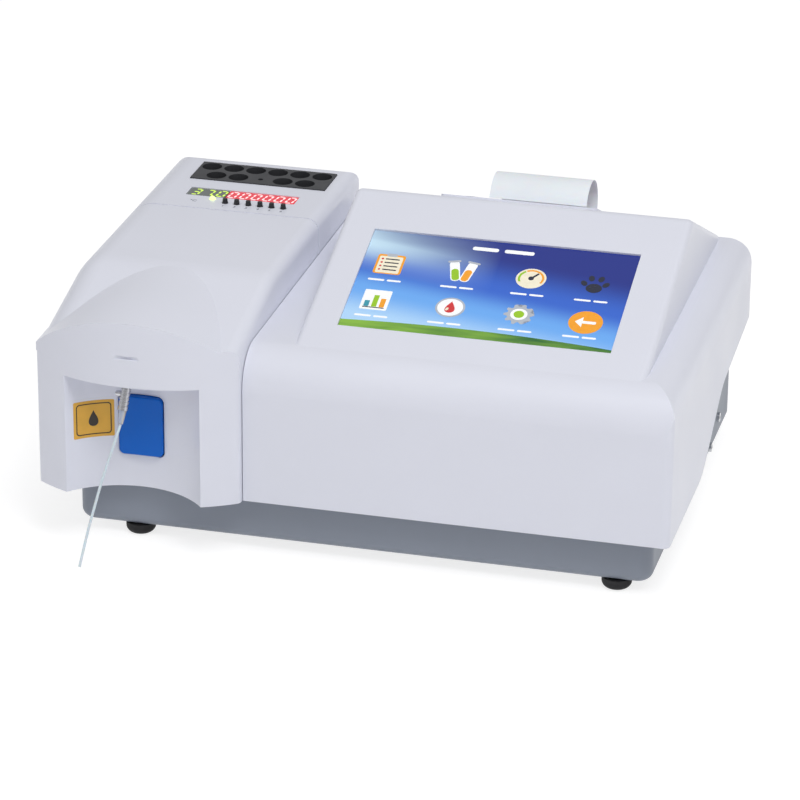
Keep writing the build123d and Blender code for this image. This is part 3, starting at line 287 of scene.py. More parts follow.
def turned(points, cx, cy, degrees):
    """An outline turned about a point."""
    c, s = cos(radians(degrees)), sin(radians(degrees))
    return [(cx + (x - cx) * c - (y - cy) * s, cy + (x - cx) * s + (y - cy) * c) for x, y in points]


def add_prism(mesh, outline, low, high, index=0):
    """A flat piece with an outline in millimetres, between two heights."""
    area = sum(x0 * y1 - x1 * y0 for (x0, y0), (x1, y1) in zip(outline, outline[1:] + outline[:1]))
    points = outline if area > 0 else outline[::-1]
    bottom = [mesh.verts.new((x * mm, y * mm, low * mm)) for x, y in points]
    top = [mesh.verts.new((x * mm, y * mm, high * mm)) for x, y in points]
    faces = [mesh.faces.new(top), mesh.faces.new(bottom[::-1])]
    for n in range(len(points)):
        k = (n + 1) % len(points)
        faces.append(mesh.faces.new((bottom[n], bottom[k], top[k], top[n])))
    for face in faces:
        face.material_index = index


def add_object(name, data):
    """A new object in the scene."""
    added = bpy.data.objects.new(name, data)
    bpy.context.scene.collection.objects.link(added)
    return added


def finish_mesh(name, mesh, materials, body="chassis"):
    """Turns a bmesh into a finished piece on a body."""
    bmesh.ops.triangulate(mesh, faces=[f for f in mesh.faces if len(f.verts) > 4])
    data = bpy.data.meshes.new(name)
    mesh.to_mesh(data)
    mesh.free()
    return finish_data(name, data, materials, body)


def finish_data(name, data, materials, body="chassis"):
    """Puts mesh data into the scene as a piece on a body."""
    for material in materials:
        data.materials.append(material)
    for polygon in data.polygons:
        polygon.use_smooth = False
    piece = add_object(name, data)
    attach(piece, body)
    return piece


def layered(name, shapes, matrix, materials, body="chassis"):
    """A piece of flat shapes, each (outline, low, high, material index), laid on a slope."""
    mesh = bmesh.new()
    for outline, low, high, index in shapes:
        add_prism(mesh, outline, low, high, index)
    mesh.transform(matrix)
    return finish_mesh(name, mesh, materials, body)


def lettering(text, size, x, y, matrix, lift):
    """Raised plain characters as mesh data, centred on a place of a slope."""
    curve = bpy.data.curves.new("characters", "FONT")
    curve.body = text
    curve.size = size * mm
    curve.align_x = "CENTER"
    curve.align_y = "CENTER"
    curve.extrude = 0.04 * mm
    curve.resolution_u = 3
    holder = add_object("characters", curve)
    data = bpy.data.meshes.new_from_object(holder.evaluated_get(bpy.context.evaluated_depsgraph_get()))
    bpy.data.objects.remove(holder)
    data.transform(matrix @ Matrix.Translation((x * mm, y * mm, lift * mm)))
    return data


def joined(name, parts, materials, body="chassis"):
    """One piece from several mesh data blocks."""
    mesh = bmesh.new()
    for part in parts:
        mesh.from_mesh(part)
        bpy.data.meshes.remove(part)
    data = bpy.data.meshes.new(name)
    mesh.to_mesh(data)
    mesh.free()
    return finish_data(name, data, materials, body)


def row_tree(name, solid_node, sizes):
    """A node tree that repeats one small solid along a line; sizes names its inputs and their sockets."""
    tree = bpy.data.node_groups.new(name, "GeometryNodeTree")
    kinds = {"Count": "Int", "Start": "Vector", "Step": "Vector", "Turn": "Vector", "Finish": "Material"}
    kinds.update({label: "Float" for label in sizes})
    for label, kind in kinds.items():
        tree.interface.new_socket(label, in_out="INPUT", socket_type="NodeSocket" + kind)
    tree.interface.new_socket("Geometry", in_out="OUTPUT", socket_type="NodeSocketGeometry")
    entry = tree.nodes.new("NodeGroupInput")
    leave = tree.nodes.new("NodeGroupOutput")
    line = tree.nodes.new("GeometryNodeMeshLine")
    line.mode = "OFFSET"
    solid = tree.nodes.new(solid_node)
    spread = tree.nodes.new("GeometryNodeInstanceOnPoints")
    real = tree.nodes.new("GeometryNodeRealizeInstances")
    coat = tree.nodes.new("GeometryNodeSetMaterial")
    link = tree.links.new
    link(entry.outputs["Count"], line.inputs["Count"])
    link(entry.outputs["Start"], line.inputs["Start Location"])
    link(entry.outputs["Step"], line.inputs["Offset"])
    link(line.outputs["Mesh"], spread.inputs["Points"])
    link(solid.outputs["Mesh"], spread.inputs["Instance"])
    link(entry.outputs["Turn"], spread.inputs["Rotation"])
    link(spread.outputs["Instances"], real.inputs["Geometry"])
    link(real.outputs["Geometry"], coat.inputs["Geometry"])
    link(entry.outputs["Finish"], coat.inputs["Material"])
    link(coat.outputs["Geometry"], leave.inputs["Geometry"])
    for label, sockets in sizes.items():
        for socket in sockets:
            link(entry.outputs[label], solid.inputs[socket])
    return tree, solid


def run_tree(name, tree, values, body="chassis"):
    """A piece from a node tree with its inputs set."""
    holder = add_object(name, bpy.data.meshes.new(name))
    modifier = holder.modifiers.new(name, "NODES")
    modifier.node_group = tree
    for item in tree.interface.items_tree:
        if item.in_out == "INPUT" and item.name in values:
            modifier[item.identifier] = values[item.name]
    made = holder.evaluated_get(bpy.context.evaluated_depsgraph_get())
    data = bpy.data.meshes.new_from_object(made)
    holder.modifiers.clear()
    holder.data = data
    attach(holder, body)
    return holder


# What a user may change


class CaseSettings(bpy.types.PropertyGroup):
    """Colours of the case."""

    cover: FloatVectorProperty(
        name="Cover",
        description="Colour of the moulded covers",
        subtype="COLOR",
        default=shade(227, 229, 240),
    )
    tray: FloatVectorProperty(
        name="Tray",
        description="Colour of the tray and rear panel",
        subtype="COLOR",
        default=shade(140, 147, 160),
    )
    key: FloatVectorProperty(
        name="Key", description="Colour of the aspirate key", subtype="COLOR", default=shade(0, 98, 198)
    )


class ScreenSettings(bpy.types.PropertyGroup):
    """Size and light of the screen's picture."""

    width: FloatProperty(
        name="Width", description="Width of the lit area", default=0.15408, unit="LENGTH", min=0.05, max=0.4
    )
    height: FloatProperty(
        name="Height", description="Height of the lit area", default=0.08592, unit="LENGTH", min=0.03, max=0.3
    )
    glow: FloatProperty(
        name="Glow", description="Strength of the picture's own light", default=0.16, min=0, max=3
    )


class DeckSettings(bpy.types.PropertyGroup):
    """Digits and marks on the tower's deck."""

    digit_height: FloatProperty(
        name="Digit height",
        description="Height of the lit digits",
        default=0.0088,
        unit="LENGTH",
        min=0.002,
        max=0.02,
    )
    mark_height: FloatProperty(
        name="Mark height",
        description="Height of the printed marks",
        default=0.0034,
        unit="LENGTH",
        min=0.001,
        max=0.01,
    )
    glow: FloatProperty(name="Glow", description="Strength of the digits' light", default=0.7, min=0, max=6)


class SamplerSettings(bpy.types.PropertyGroup):
    """The patch beside the key and the sipper tube."""

    patch_width: FloatProperty(
        name="Patch width",
        description="Width of the amber patch",
        default=0.0235,
        unit="LENGTH",
        min=0.01,
        max=0.05,
    )
    patch_height: FloatProperty(
        name="Patch height",
        description="Height of the amber patch",
        default=0.022,
        unit="LENGTH",
        min=0.01,
        max=0.05,
    )
    patch: FloatVectorProperty(
        name="Patch", description="Colour of the patch", subtype="COLOR", default=shade(226, 172, 62)
    )
    tube: FloatProperty(
        name="Tube",
        description="Diameter of the sipper tube",
        default=0.0016,
        unit="LENGTH",
        min=0.0008,
        max=0.004,
    )


class PrinterSettings(bpy.types.PropertyGroup):
    """Trim of the printer."""

    teeth: IntProperty(name="Teeth", description="Teeth on the tear bar", default=48, min=8, max=120)
    ribs: IntProperty(name="Ribs", description="Grip ribs on the lid", default=7, min=0, max=20)


class StageSettings(bpy.types.PropertyGroup):
    """Light and camera."""

    key_light: FloatProperty(
        name="Key light", description="Power of the key light", default=30.0, unit="POWER", min=0
    )
    fill_light: FloatProperty(
        name="Fill light", description="Power of the fill light", default=2.5, unit="POWER", min=0
    )
    sky: FloatProperty(
        name="Sky", description="Strength of the surrounding light", default=0.44, min=0, max=2
    )
    lens: FloatProperty(
        name="Lens", description="Focal length in millimetres", default=177.75, min=20, max=400
    )


# Pieces


class ANALYZER_OT_case(bpy.types.Operator):
    """Finishes the covers, the tray, the feet and the aspirate key"""

    bl_idname = "analyzer.case"
    bl_label = "Case Finishes"

    def execute(self, context):
        settings = context.scene.analyzer_case
        cover = moulded("cover_plastic", tuple(settings.cover), gloss=0.33)
        tray = painted("tray_paint", tuple(settings.tray))
        paint_nodes(
            {
                "console_cover": cover,
                "sampler_hood": cover,
                "printer_frame": moulded("bezel_plastic", tuple(c * 0.96 for c in settings.cover), gloss=0.4),
                "printer_door": moulded("lid_plastic", tuple(c * 0.97 for c in settings.cover), gloss=0.36),
                "base_tray": tray,
                "rear_panel": painted("panel_paint", tuple(c * 0.92 for c in settings.tray), gloss=0.5),
                "rubber_feet": rubbery("foot_rubber", shade(26, 26, 28)),
                "side_screws": brushed("screw_steel", shade(196, 198, 202), gloss=0.22, stretch=(1, 1, 1)),
                "aspirate_key": moulded(
                    "key_plastic", tuple(settings.key), gloss=0.3, Specular_IOR_Level=0.25
                ),
            }
        )
        return {"FINISHED"}


class ANALYZER_OT_works(bpy.types.Operator):
    """Finishes the pieces inside the case, on the deck, on the rear panel and in the printer"""

    bl_idname = "analyzer.works"
    bl_label = "Inner Finishes"

    def execute(self, context):
        board = board_finish("board_mask")
        steel = brushed("pin_steel", shade(190, 191, 194), gloss=0.25, stretch=(18, 1, 1))
        black = moulded("black_plastic", shade(34, 34, 37), gloss=0.42)
        alloy = brushed("machined_alloy", shade(186, 188, 192), gloss=0.34)
        cast = even_finish(
            "cast_alloy", shade(150, 151, 154), 0.5, mottle=0.1, grain=600.0, Metallic=1.0
        ).material
        anodised = even_finish(
            "anodised_block", shade(70, 71, 75), 0.42, mottle=0.08, patch=40.0, grain=1800.0, Metallic=0.35
        ).material
        lens = clear("lens_glass", shade(225, 236, 245))
        roller = moulded("roller_plastic", shade(214, 214, 212), gloss=0.45)
        finishes = {
            "incubator_block": anodised,
            "heater_plate": even_finish(
                "heater_foil", shade(176, 110, 48), 0.35, mottle=0.12, patch=60.0
            ).material,
            "key_board": board,
            "main_board": board,
            "detector": board,
            "key_pin": steel,
            "lid_pin": steel,
            "micro_switch": black,
            "screen_module": black,
            "filter_motor": painted("motor_paint", shade(48, 48, 52)),
            "nozzle_sleeve": brushed("nozzle_steel", shade(198, 199, 204), gloss=0.24),
            "nozzle_tip": clear("tip_plastic", shade(232, 236, 240), gloss=0.12, weight=0.6),
            "optical_bench": alloy,
            "flow_cell_block": alloy,
            "lamp_housing": cast,
            "print_head": cast,
            "halogen_lamp": lens,
            "condenser_lens": lens,
            "filter_wheel": anodised,
            "filter_glasses": clear("filter_coating", shade(150, 120, 210), gloss=0.05),
            "pump_housing": moulded("pump_plastic", shade(208, 210, 214), gloss=0.4),
            "pump_rotor": moulded("rotor_plastic", shade(120, 124, 132), gloss=0.45),
            "pump_tube": even_finish(
                "pump_silicone", shade(216, 214, 206), 0.4, Subsurface_Weight=0.3
            ).material,
            "power_supply": brushed("cage_zinc", shade(178, 180, 184), gloss=0.38, stretch=(6, 1, 1)),
            "fan_frame": black,
            "fan_rotor": moulded("blade_plastic", shade(28, 28, 30), gloss=0.35),
            "fan_guard": brushed("guard_steel", shade(196, 198, 202), gloss=0.2, stretch=(1, 1, 1)),
            "power_inlet": black,
            "switch_frame": black,
            "rocker_switch": moulded("rocker_plastic", shade(22, 22, 24), gloss=0.22),
            "signal_ports": brushed("port_steel", shade(172, 173, 176), gloss=0.35),
            "waste_fitting": moulded("fitting_plastic", shade(228, 229, 232), gloss=0.38),
            "ground_post": even_finish(
                "stud_brass", shade(202, 164, 84), 0.3, mottle=0.08, patch=80.0, Metallic=1.0
            ).material,
            "platen_roller": rubbery("platen_rubber", shade(52, 52, 55)),
            "paper_roll": paper_finish("roll_paper"),
            "paper_strip": paper_finish("strip_paper"),
            "feed_key": moulded("feed_plastic", shade(150, 155, 164), gloss=0.42),
            "status_lamp": lit("lamp_lens", shade(226, 255, 150), 1.1),
            "temperature_display": even_finish(
                "window_green", shade(96, 104, 98), 0.18, mottle=0.05, patch=60.0, Coat_Weight=0.5
            ).material,
            "timer_display": lit("window_red", shade(228, 62, 78), 0.22, gloss=0.18),
            "screen_glass": clear("touch_glass", shade(210, 220, 230), gloss=0.08, weight=0.7),
        }
        timer = moulded("timer_plastic", shade(30, 31, 35), gloss=0.36)
        for start, material in (("timer_key_", timer), ("pump_roller_", roller)):
            finishes.update({name: material for name in nodes if name.startswith(start)})
        paint_nodes(finishes)
        return {"FINISHED"}


# Screen, in millimetres and degrees, from the front left corner of its lit area
SCREEN_CORNER = (-18.3, -79.6, 129.0)
PANEL_SLOPE = 18.55
SCREEN_DEPTH = 1.2
PICTURE_LAYER = (0.02, 0.1)
SIGN_THICKNESS = 0.07
SIGN_COLUMNS = (15.6, 57.2, 97.2, 133.5)
SIGN_ROWS = (57.0, 25.5)
TITLE_ROW = 78.3


def picture_finish(glow):
    """Sky blue to navy with soft streaks over a green foot, on the piece's own UV map."""
    finish = Finish("screen_picture")
    across_up = finish.nodes.new("ShaderNodeSeparateXYZ")
    finish.links.new(finish.nodes["Texture Coordinate"].outputs["UV"], across_up.inputs["Vector"])
    across, up = across_up.outputs["X"], across_up.outputs["Y"]
    rise = finish.math("ADD", up, finish.math("MULTIPLY", across, 0.28))
    sky = finish.nodes.new("ShaderNodeValToRGB")
    sky.color_ramp.interpolation = "EASE"
    stops = ((0.14, (172, 210, 245)), (0.42, (104, 166, 236)), (0.66, (48, 98, 200)), (1.0, (26, 44, 132)))
    while len(sky.color_ramp.elements) < len(stops):
        sky.color_ramp.elements.new(0.5)
    for element, (position, colour) in zip(sky.color_ramp.elements, stops):
        element.position = position
        element.color = (*shade(*colour), 1)
    finish.links.new(rise, sky.inputs["Fac"])
    streak = finish.noise(9.0, 2.0, (0.8, 4.0, 4.0), 0.4)
    left = finish.math("SUBTRACT", 0.75, finish.math("MULTIPLY", across, 1.5))
    left = finish.math("MAXIMUM", left, 0.0)
    height = finish.math("MULTIPLY", finish.math("SUBTRACT", up, 0.9), 3.2)
    near = finish.math("SUBTRACT", 1.0, finish.math("ABSOLUTE", finish.math("ADD", height, across)))
    near = finish.math("MAXIMUM", near, 0.0)
    veil = finish.math("MULTIPLY", finish.math("MULTIPLY", left, near), finish.ramp(streak, 0.55, 1.5))
    base = finish.mix(veil, sky.outputs["Color"], shade(206, 236, 250))
    bend = finish.math("POWER", finish.math("ABSOLUTE", finish.math("SUBTRACT", across, 0.38)), 2.0)
    edge = finish.math("SUBTRACT", 0.1, finish.math("MULTIPLY", bend, 0.15))
    grass_tone = finish.math("ADD", across, finish.ramp(finish.noise(40.0, 2.0, (1, 6, 6)), -0.25, 0.25))
    grass_tone = finish.math("MINIMUM", finish.math("MAXIMUM", grass_tone, 0.0), 1.0)
    grass = finish.mix(grass_tone, shade(132, 180, 62), shade(34, 98, 44))
    foot = finish.math("LESS_THAN", up, edge)
    picture = finish.mix(foot, base, grass)
    finish.colour(picture)
    finish.links.new(picture, finish.shader.inputs["Emission Color"])
    finish.gloss(0.22)
    return finish.set(Emission_Strength=glow, Coat_Weight=0.3, Coat_Roughness=0.1).material


class ANALYZER_OT_screen(bpy.types.Operator):
    """Lays the picture and its generic icons on the touch glass"""

    bl_idname = "analyzer.screen"
    bl_label = "Screen Picture"

    def execute(self, context):
        settings = context.scene.analyzer_screen
        place = tilted(SCREEN_CORNER, PANEL_SLOPE) @ Matrix.Translation((0, 0, -SCREEN_DEPTH * mm))
        width, height = settings.width / mm, settings.height / mm
        self.picture(place, width, height, settings.glow)
        self.icons(place, settings.glow)
        return {"FINISHED"}

    def picture(self, place, width, height, glow):
        """The lit picture as a fine sheet with a UV map."""
        mesh = bmesh.new()
        outline = [(0.1, 0.1), (width - 0.1, 0.1), (width - 0.1, height - 0.1), (0.1, height - 0.1)]
        add_prism(mesh, outline, *PICTURE_LAYER)
        layer = mesh.loops.layers.uv.new("UVMap")
        for face in mesh.faces:
            for loop in face.loops:
                loop[layer].uv = (loop.vert.co.x / (width * mm), loop.vert.co.y / (height * mm))
        mesh.transform(place)
        finish_mesh("screen_picture", mesh, [picture_finish(glow)])

    def icons(self, place, glow):
        """Eight plain signs with a rule under each, and the page's title rule."""
        tones = {
            "white": (248, 250, 252),
            "cream": (240, 232, 208),
            "amber": (240, 160, 44),
            "green": (150, 196, 40),
            "dark": (40, 44, 62),
            "grey": (176, 182, 192),
            "red": (206, 58, 60),
            "teal": (60, 150, 170),
        }
        order = list(tones)
        materials = [lit("sign_" + name, shade(*tones[name]), glow * 0.9) for name in order]
        low, thick = PICTURE_LAYER[1], SIGN_THICKNESS
        shapes = []

        def lay(outline, tone, level=1):
            shapes.append((outline, low, low + thick * level, order.index(tone)))

        columns, (upper, lower) = SIGN_COLUMNS, SIGN_ROWS
        self.list_sheet(lay, columns[0], upper)
        self.tubes(lay, columns[1], upper)
        self.gauge(lay, columns[2], upper)
        self.paw(lay, columns[3], upper)
        self.chart(lay, columns[0], lower)
        self.blood_drop(lay, columns[1] + 1, lower)
        self.gear(lay, columns[2], lower)
        self.leave_button(lay, columns[3] + 1.5, lower - 1)
        for column in columns:
            for row in (upper - 14.0, lower - 13.8):
                lay(rounded(column - 4.2, row, 9.5, 1.5, 0.7), "white")
                lay(rounded(column + 6.0, row, 8.0, 1.5, 0.7), "white")
        lay(rounded(66.5, TITLE_ROW, 15.0, 3.0, 1.2), "white")
        lay(rounded(86.0, TITLE_ROW, 17.0, 3.0, 1.2), "white")
        layered("screen_signs", shapes, place, materials)

    def list_sheet(self, lay, x, y):
        """A list on a clip board."""
        lay(rounded(x, y, 16.0, 17.0, 1.6), "amber", 1)
        lay(rounded(x, y - 0.4, 13.4, 14.6, 0.8), "cream", 2)
        lay(rounded(x, y + 8.0, 6.0, 2.6, 1.0), "grey", 3)
        for n in range(4):
            lay(rounded(x + 1.0, y + 4.4 - 3.1 * n, 8.2, 0.9, 0.4), "dark", 3)
            lay(disc(x - 4.8, y + 4.4 - 3.1 * n, 0.7, 12), "red", 3)

    def tubes(self, lay, x, y):
        """Two leaning test tubes."""
        for shift, tone, lean in ((-3.6, "green", 14), (4.2, "amber", -10)):
            cx = x + shift
            lay(turned(rounded(cx, y, 5.6, 17.5, 2.6), cx, y, lean), "white", 1)
            lay(turned(rounded(cx, y - 3.2, 4.2, 10.0, 2.0), cx, y, lean), tone, 2)
            lay(turned(rounded(cx, y + 8.4, 7.4, 1.6, 0.7), cx, y, lean), "grey", 2)

    def gauge(self, lay, x, y):
        """A round gauge with its needle."""
        lay(disc(x, y, 8.6), "cream", 1)
        lay(arc_band(x, y, 6.2, 7.4, -30, 120), "amber", 2)
        lay(arc_band(x, y, 6.2, 7.4, 126, 210), "green", 2)
        lay(turned(rounded(x + 2.2, y, 7.4, 1.2, 0.5), x, y, 52), "dark", 3)
        lay(disc(x, y, 1.6, 20), "dark", 4)

    def paw(self, lay, x, y):
        """A plain paw mark."""
        lay(disc(x, y - 3.0, 4.6, 28, 0.86), "dark", 1)
        for angle, reach in ((160, 6.6), (112, 7.4), (68, 7.4), (20, 6.6)):
            toe_x = x + reach * cos(radians(angle))
            toe_y = y - 1.6 + reach * sin(radians(angle))
            lay(turned(disc(toe_x, toe_y, 1.7, 20, 1.45), toe_x, toe_y, (angle - 90) * 0.5), "dark", 1)

    def chart(self, lay, x, y):
        """A page with three bars."""
        lay(rounded(x, y, 15.5, 17.0, 0.8), "white", 1)
        for n, (tall, tone) in enumerate(((5.0, "teal"), (10.0, "green"), (7.4, "amber"))):
            lay(rounded(x - 4.4 + 4.4 * n, y - 6.0 + tall / 2, 2.9, tall, 0.3), tone, 2)
        lay(rounded(x, y - 6.6, 12.6, 0.7, 0.3), "dark", 2)

    def blood_drop(self, lay, x, y):
        """A drop in a pale ring."""
        lay(disc(x, y, 8.4), "grey", 1)
        lay(disc(x, y, 7.2), "white", 2)
        lay(drop(x, y + 0.3, 6.6), "red", 3)
        lay(turned(disc(x - 1.5, y - 1.8, 0.8, 16, 1.7), x - 1.5, y - 1.8, -20), "cream", 4)

    def gear(self, lay, x, y):
        """A toothed wheel with a green hub."""
        outline = []
        for n in range(40):
            reach = 8.6 if n % 4 in (0, 1) else 6.7
            outline.append((x + reach * cos(2 * pi * n / 40), y + reach * sin(2 * pi * n / 40)))
        lay(outline, "grey", 1)
        lay(disc(x, y, 4.8), "white", 2)
        lay(disc(x, y, 3.0), "green", 3)

    def leave_button(self, lay, x, y):
        """A round amber button with an arrow to the left."""
        lay(disc(x, y, 9.6, 48), "amber", 1)
        lay(rounded(x + 1.6, y, 8.4, 2.2, 0.7), "white", 2)
        lay([(x - 6.0, y), (x - 1.8, y - 4.2), (x - 1.8, y + 4.2)], "white", 2)


# Deck, in millimetres
LEVEL = Matrix.Identity(4)
SEGMENT_RISE = 0.08
GREEN_DIGIT = {"width": 4.2, "stroke": 1.1}
RED_DIGIT = {"width": 3.9, "stroke": 1.0}
MARK_BELOW_KEY = 5.2
CELSIUS_OFFSET = (7.2, -9.4)
CELSIUS_SCALE = 1.15
SEGMENTS = {
    "0": "abcdef",
    "1": "bc",
    "2": "abdeg",
    "3": "abcdg",
    "4": "bcfg",
    "5": "acdfg",
    "6": "acdefg",
    "7": "abc",
    "8": "abcdefg",
    "9": "abcdfg",
}


def digit_bars(sign, x, y, width, height, stroke, lean=0.14):
    """Outlines of a seven-segment digit, leaning a little, with its lower left at a place."""

    def bar(x0, y0, x1, y1):
        length = hypot(x1 - x0, y1 - y0)
        ux, uy = (x1 - x0) / length, (y1 - y0) / length
        h = stroke / 2
        points = []
        near, far = 2 * h, length - 2 * h
        for along, side in ((h, 0), (near, h), (far, h), (length - h, 0), (far, -h), (near, -h)):
            px, py = x0 + ux * along - uy * side, y0 + uy * along + ux * side
            points.append((x + px + lean * py, y + py))
        return points

    mid = height / 2
    lines = {
        "a": (0, height, width, height),
        "b": (width, mid, width, height),
        "c": (width, 0, width, mid),
        "d": (0, 0, width, 0),
        "e": (0, 0, 0, mid),
        "f": (0, mid, 0, height),
        "g": (0, mid, width, mid),
    }
    return [bar(*lines[name]) for name in SEGMENTS[sign]]


class ANALYZER_OT_deck(bpy.types.Operator):
    """Lights the digits on the deck and prints the plain marks beside the keys"""

    bl_idname = "analyzer.deck"
    bl_label = "Deck Readouts"

    def execute(self, context):
        settings = context.scene.analyzer_deck
        tall = settings.digit_height / mm
        low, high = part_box("temperature_display")
        level = high.z / mm
        y = (low.y + high.y) / 2 / mm - tall / 2
        green = lit("digit_green", shade(198, 230, 84), settings.glow)
        left = low.x / mm + 2.0
        pitch = (high.x - low.x) / mm / 3
        shapes = []
        for n, sign in enumerate("370"):
            for bar in digit_bars(sign, left + n * pitch, y, height=tall, **GREEN_DIGIT):
                shapes.append((bar, level, level + SEGMENT_RISE, 0))
        point = disc(left + pitch + 5.6, y + 0.2, 0.7, 12)
        shapes.append((point, level, level + SEGMENT_RISE, 0))
        layered("temperature_digits", shapes, LEVEL, [green])
        self.timer_digits(level, y, tall, settings.glow)
        self.marks(settings.mark_height / mm)
        return {"FINISHED"}

    def timer_digits(self, level, y, tall, glow):
        """One zero digit over each of the six keys."""
        low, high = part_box("timer_display")
        red = lit("digit_red", shade(255, 214, 214), glow)
        cells = [name for name in nodes if name.startswith("timer_key_")]
        pitch = (high.x - low.x) / mm / len(cells)
        shapes = []
        for n in range(len(cells)):
            left = low.x / mm + n * pitch + 1.2
            for bar in digit_bars("0", left, y, height=tall, **RED_DIGIT):
                shapes.append((bar, level, level + SEGMENT_RISE, 0))
        layered("timer_digits", shapes, LEVEL, [red])

    def marks(self, tall):
        """The numbers of the keys and the sign of the temperature window."""
        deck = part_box("sampler_hood")[1].z / mm
        ink = moulded("mark_ink", shade(92, 96, 108), gloss=0.55)
        parts = []
        for n in range(6):
            low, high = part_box(f"timer_key_{n + 1}")
            x, y = (low.x + high.x) / 2 / mm, (low.y + high.y) / 2 / mm
            parts.append(lettering(str(n + 1), tall, x, y - MARK_BELOW_KEY, LEVEL, deck))
        low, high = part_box("temperature_display")
        x, y = low.x / mm + CELSIUS_OFFSET[0], low.y / mm + CELSIUS_OFFSET[1]
        parts.append(lettering("°C", tall * CELSIUS_SCALE, x, y, LEVEL, deck))
        joined("deck_marks", parts, [ink])


# Sampler, in millimetres; a layer is its low and high face above the wall
RECESS_CENTRE = (-120.4, -166.5)
RECESS_RADIUS = 50.4
PATCH_PLACE = (-147.8, 76.0)
PATCH_LAYER = (0.02, 0.16)
INK_LAYER = (0.12, 0.22)
DROP_SIZE = 6.4


def on_recess(outline, low, high, step=1.4):
    """Mesh data of a flat shape in (x, z) laid on the recess's round wall, between two heights off it."""
    centre_x, centre_y = RECESS_CENTRE
    mesh = bmesh.new()
    add_prism(mesh, outline, low, high)
    xs = [x for x, y in outline]
    for n in range(1, ceil((max(xs) - min(xs)) / step)):
        cut = (min(xs) + n * step) * mm
        bmesh.ops.bisect_plane(
            mesh, geom=mesh.verts[:] + mesh.edges[:] + mesh.faces[:], plane_co=(cut, 0, 0), plane_no=(1, 0, 0)
        )
    bmesh.ops.triangulate(mesh, faces=[f for f in mesh.faces if len(f.verts) > 4])
    for vertex in mesh.verts:
        x, z, lift = vertex.co.x / mm, vertex.co.y / mm, vertex.co.z / mm
        turn = (x - centre_x) / RECESS_RADIUS
        reach = RECESS_RADIUS - lift
        vertex.co = Vector((centre_x + reach * sin(turn), centre_y + reach * cos(turn), z)) * mm
    bmesh.ops.recalc_face_normals(mesh, faces=mesh.faces)
    data = bpy.data.meshes.new("on_recess")
    mesh.to_mesh(data)
    mesh.free()
    return data


SIPPER_ROUTE = (
    (-126.3, -136.6, 80.3),
    (-129.9, -142.0, 66.0),
    (-133.8, -147.5, 51.5),
    (-136.8, -153.3, 36.5),
    (-139.2, -161.2, 21.6),
    (-140.4, -170.6, 7.2),
)


class ANALYZER_OT_sampler(bpy.types.Operator):
    """Sticks the amber patch on the recess wall and hangs the sipper tube"""

    bl_idname = "analyzer.sampler"
    bl_label = "Sampler Marks and Tube"

    def execute(self, context):
        settings = context.scene.analyzer_sampler
        self.patch(settings)
        self.tube(settings.tube)
        return {"FINISHED"}

    def patch(self, settings):
        """A plain amber patch with a thin border and a drop."""
        x, z = PATCH_PLACE
        wide, tall = settings.patch_width / mm, settings.patch_height / mm
        amber = even_finish(
            "patch_vinyl", tuple(settings.patch), 0.4, mottle=0.05, patch=120.0, grain=1600.0
        ).material
        ink = moulded("patch_ink", shade(44, 38, 30), gloss=0.5)
        patch = on_recess(rounded(x, z, wide, tall, 0.8), *PATCH_LAYER)
        finish_data("sample_patch", patch, [amber])
        frame_in = rounded(x, z, wide - 4.4, tall - 4.4, 1.6)
        frame_out = rounded(x, z, wide - 3.2, tall - 3.2, 2.0)
        parts = []
        for n in range(len(frame_in)):
            k = (n + 1) % len(frame_in)
            parts.append(on_recess([frame_in[n], frame_out[n], frame_out[k], frame_in[k]], *INK_LAYER))
        parts.append(on_recess(drop(x, z + 0.4, DROP_SIZE), *INK_LAYER))
        joined("patch_mark", parts, [ink])

    def tube(self, diameter):
        """The thin sipper tube on one smooth line."""
        curve = bpy.data.curves.new("sipper_line", "CURVE")
        curve.dimensions = "3D"
        spline = curve.splines.new("NURBS")
        spline.points.add(len(SIPPER_ROUTE) - 1)
        for point, place in zip(spline.points, SIPPER_ROUTE):
            point.co = (*(Vector(place) * mm), 1)
        spline.order_u = 3
        spline.use_endpoint_u = True
        spline.resolution_u = 12
        curve.bevel_depth = diameter / 2
        curve.bevel_resolution = 4
        curve.use_fill_caps = True
        polymer = even_finish("tube_polymer", shade(214, 226, 232), 0.3, mottle=0.04, Subsurface_Weight=0.2)
        curve.materials.append(polymer.material)
        piece = add_object("sipper_line", curve)
        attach(piece, "chassis")
        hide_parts("sipper_tube")


# Printer, in millimetres and degrees, from the slope under its bezel's middle
PRINTER_PLACE = (55.5, 80.9, 146.713)
PRINTER_SLOPE = -24.647
BEZEL_TOP = 1.6
PAPER_MIDDLE = 10.7
PAPER_WIDTH = 57.0
TOOTH_ROW = -5.8
TOOTH_HEIGHT = 0.9
TOOTH_SPREAD = 0.62
RIB_SIZE = (20.0, 0.7, 0.9)
RIB_PITCH = 1.7
RIB_ROW = 8.0


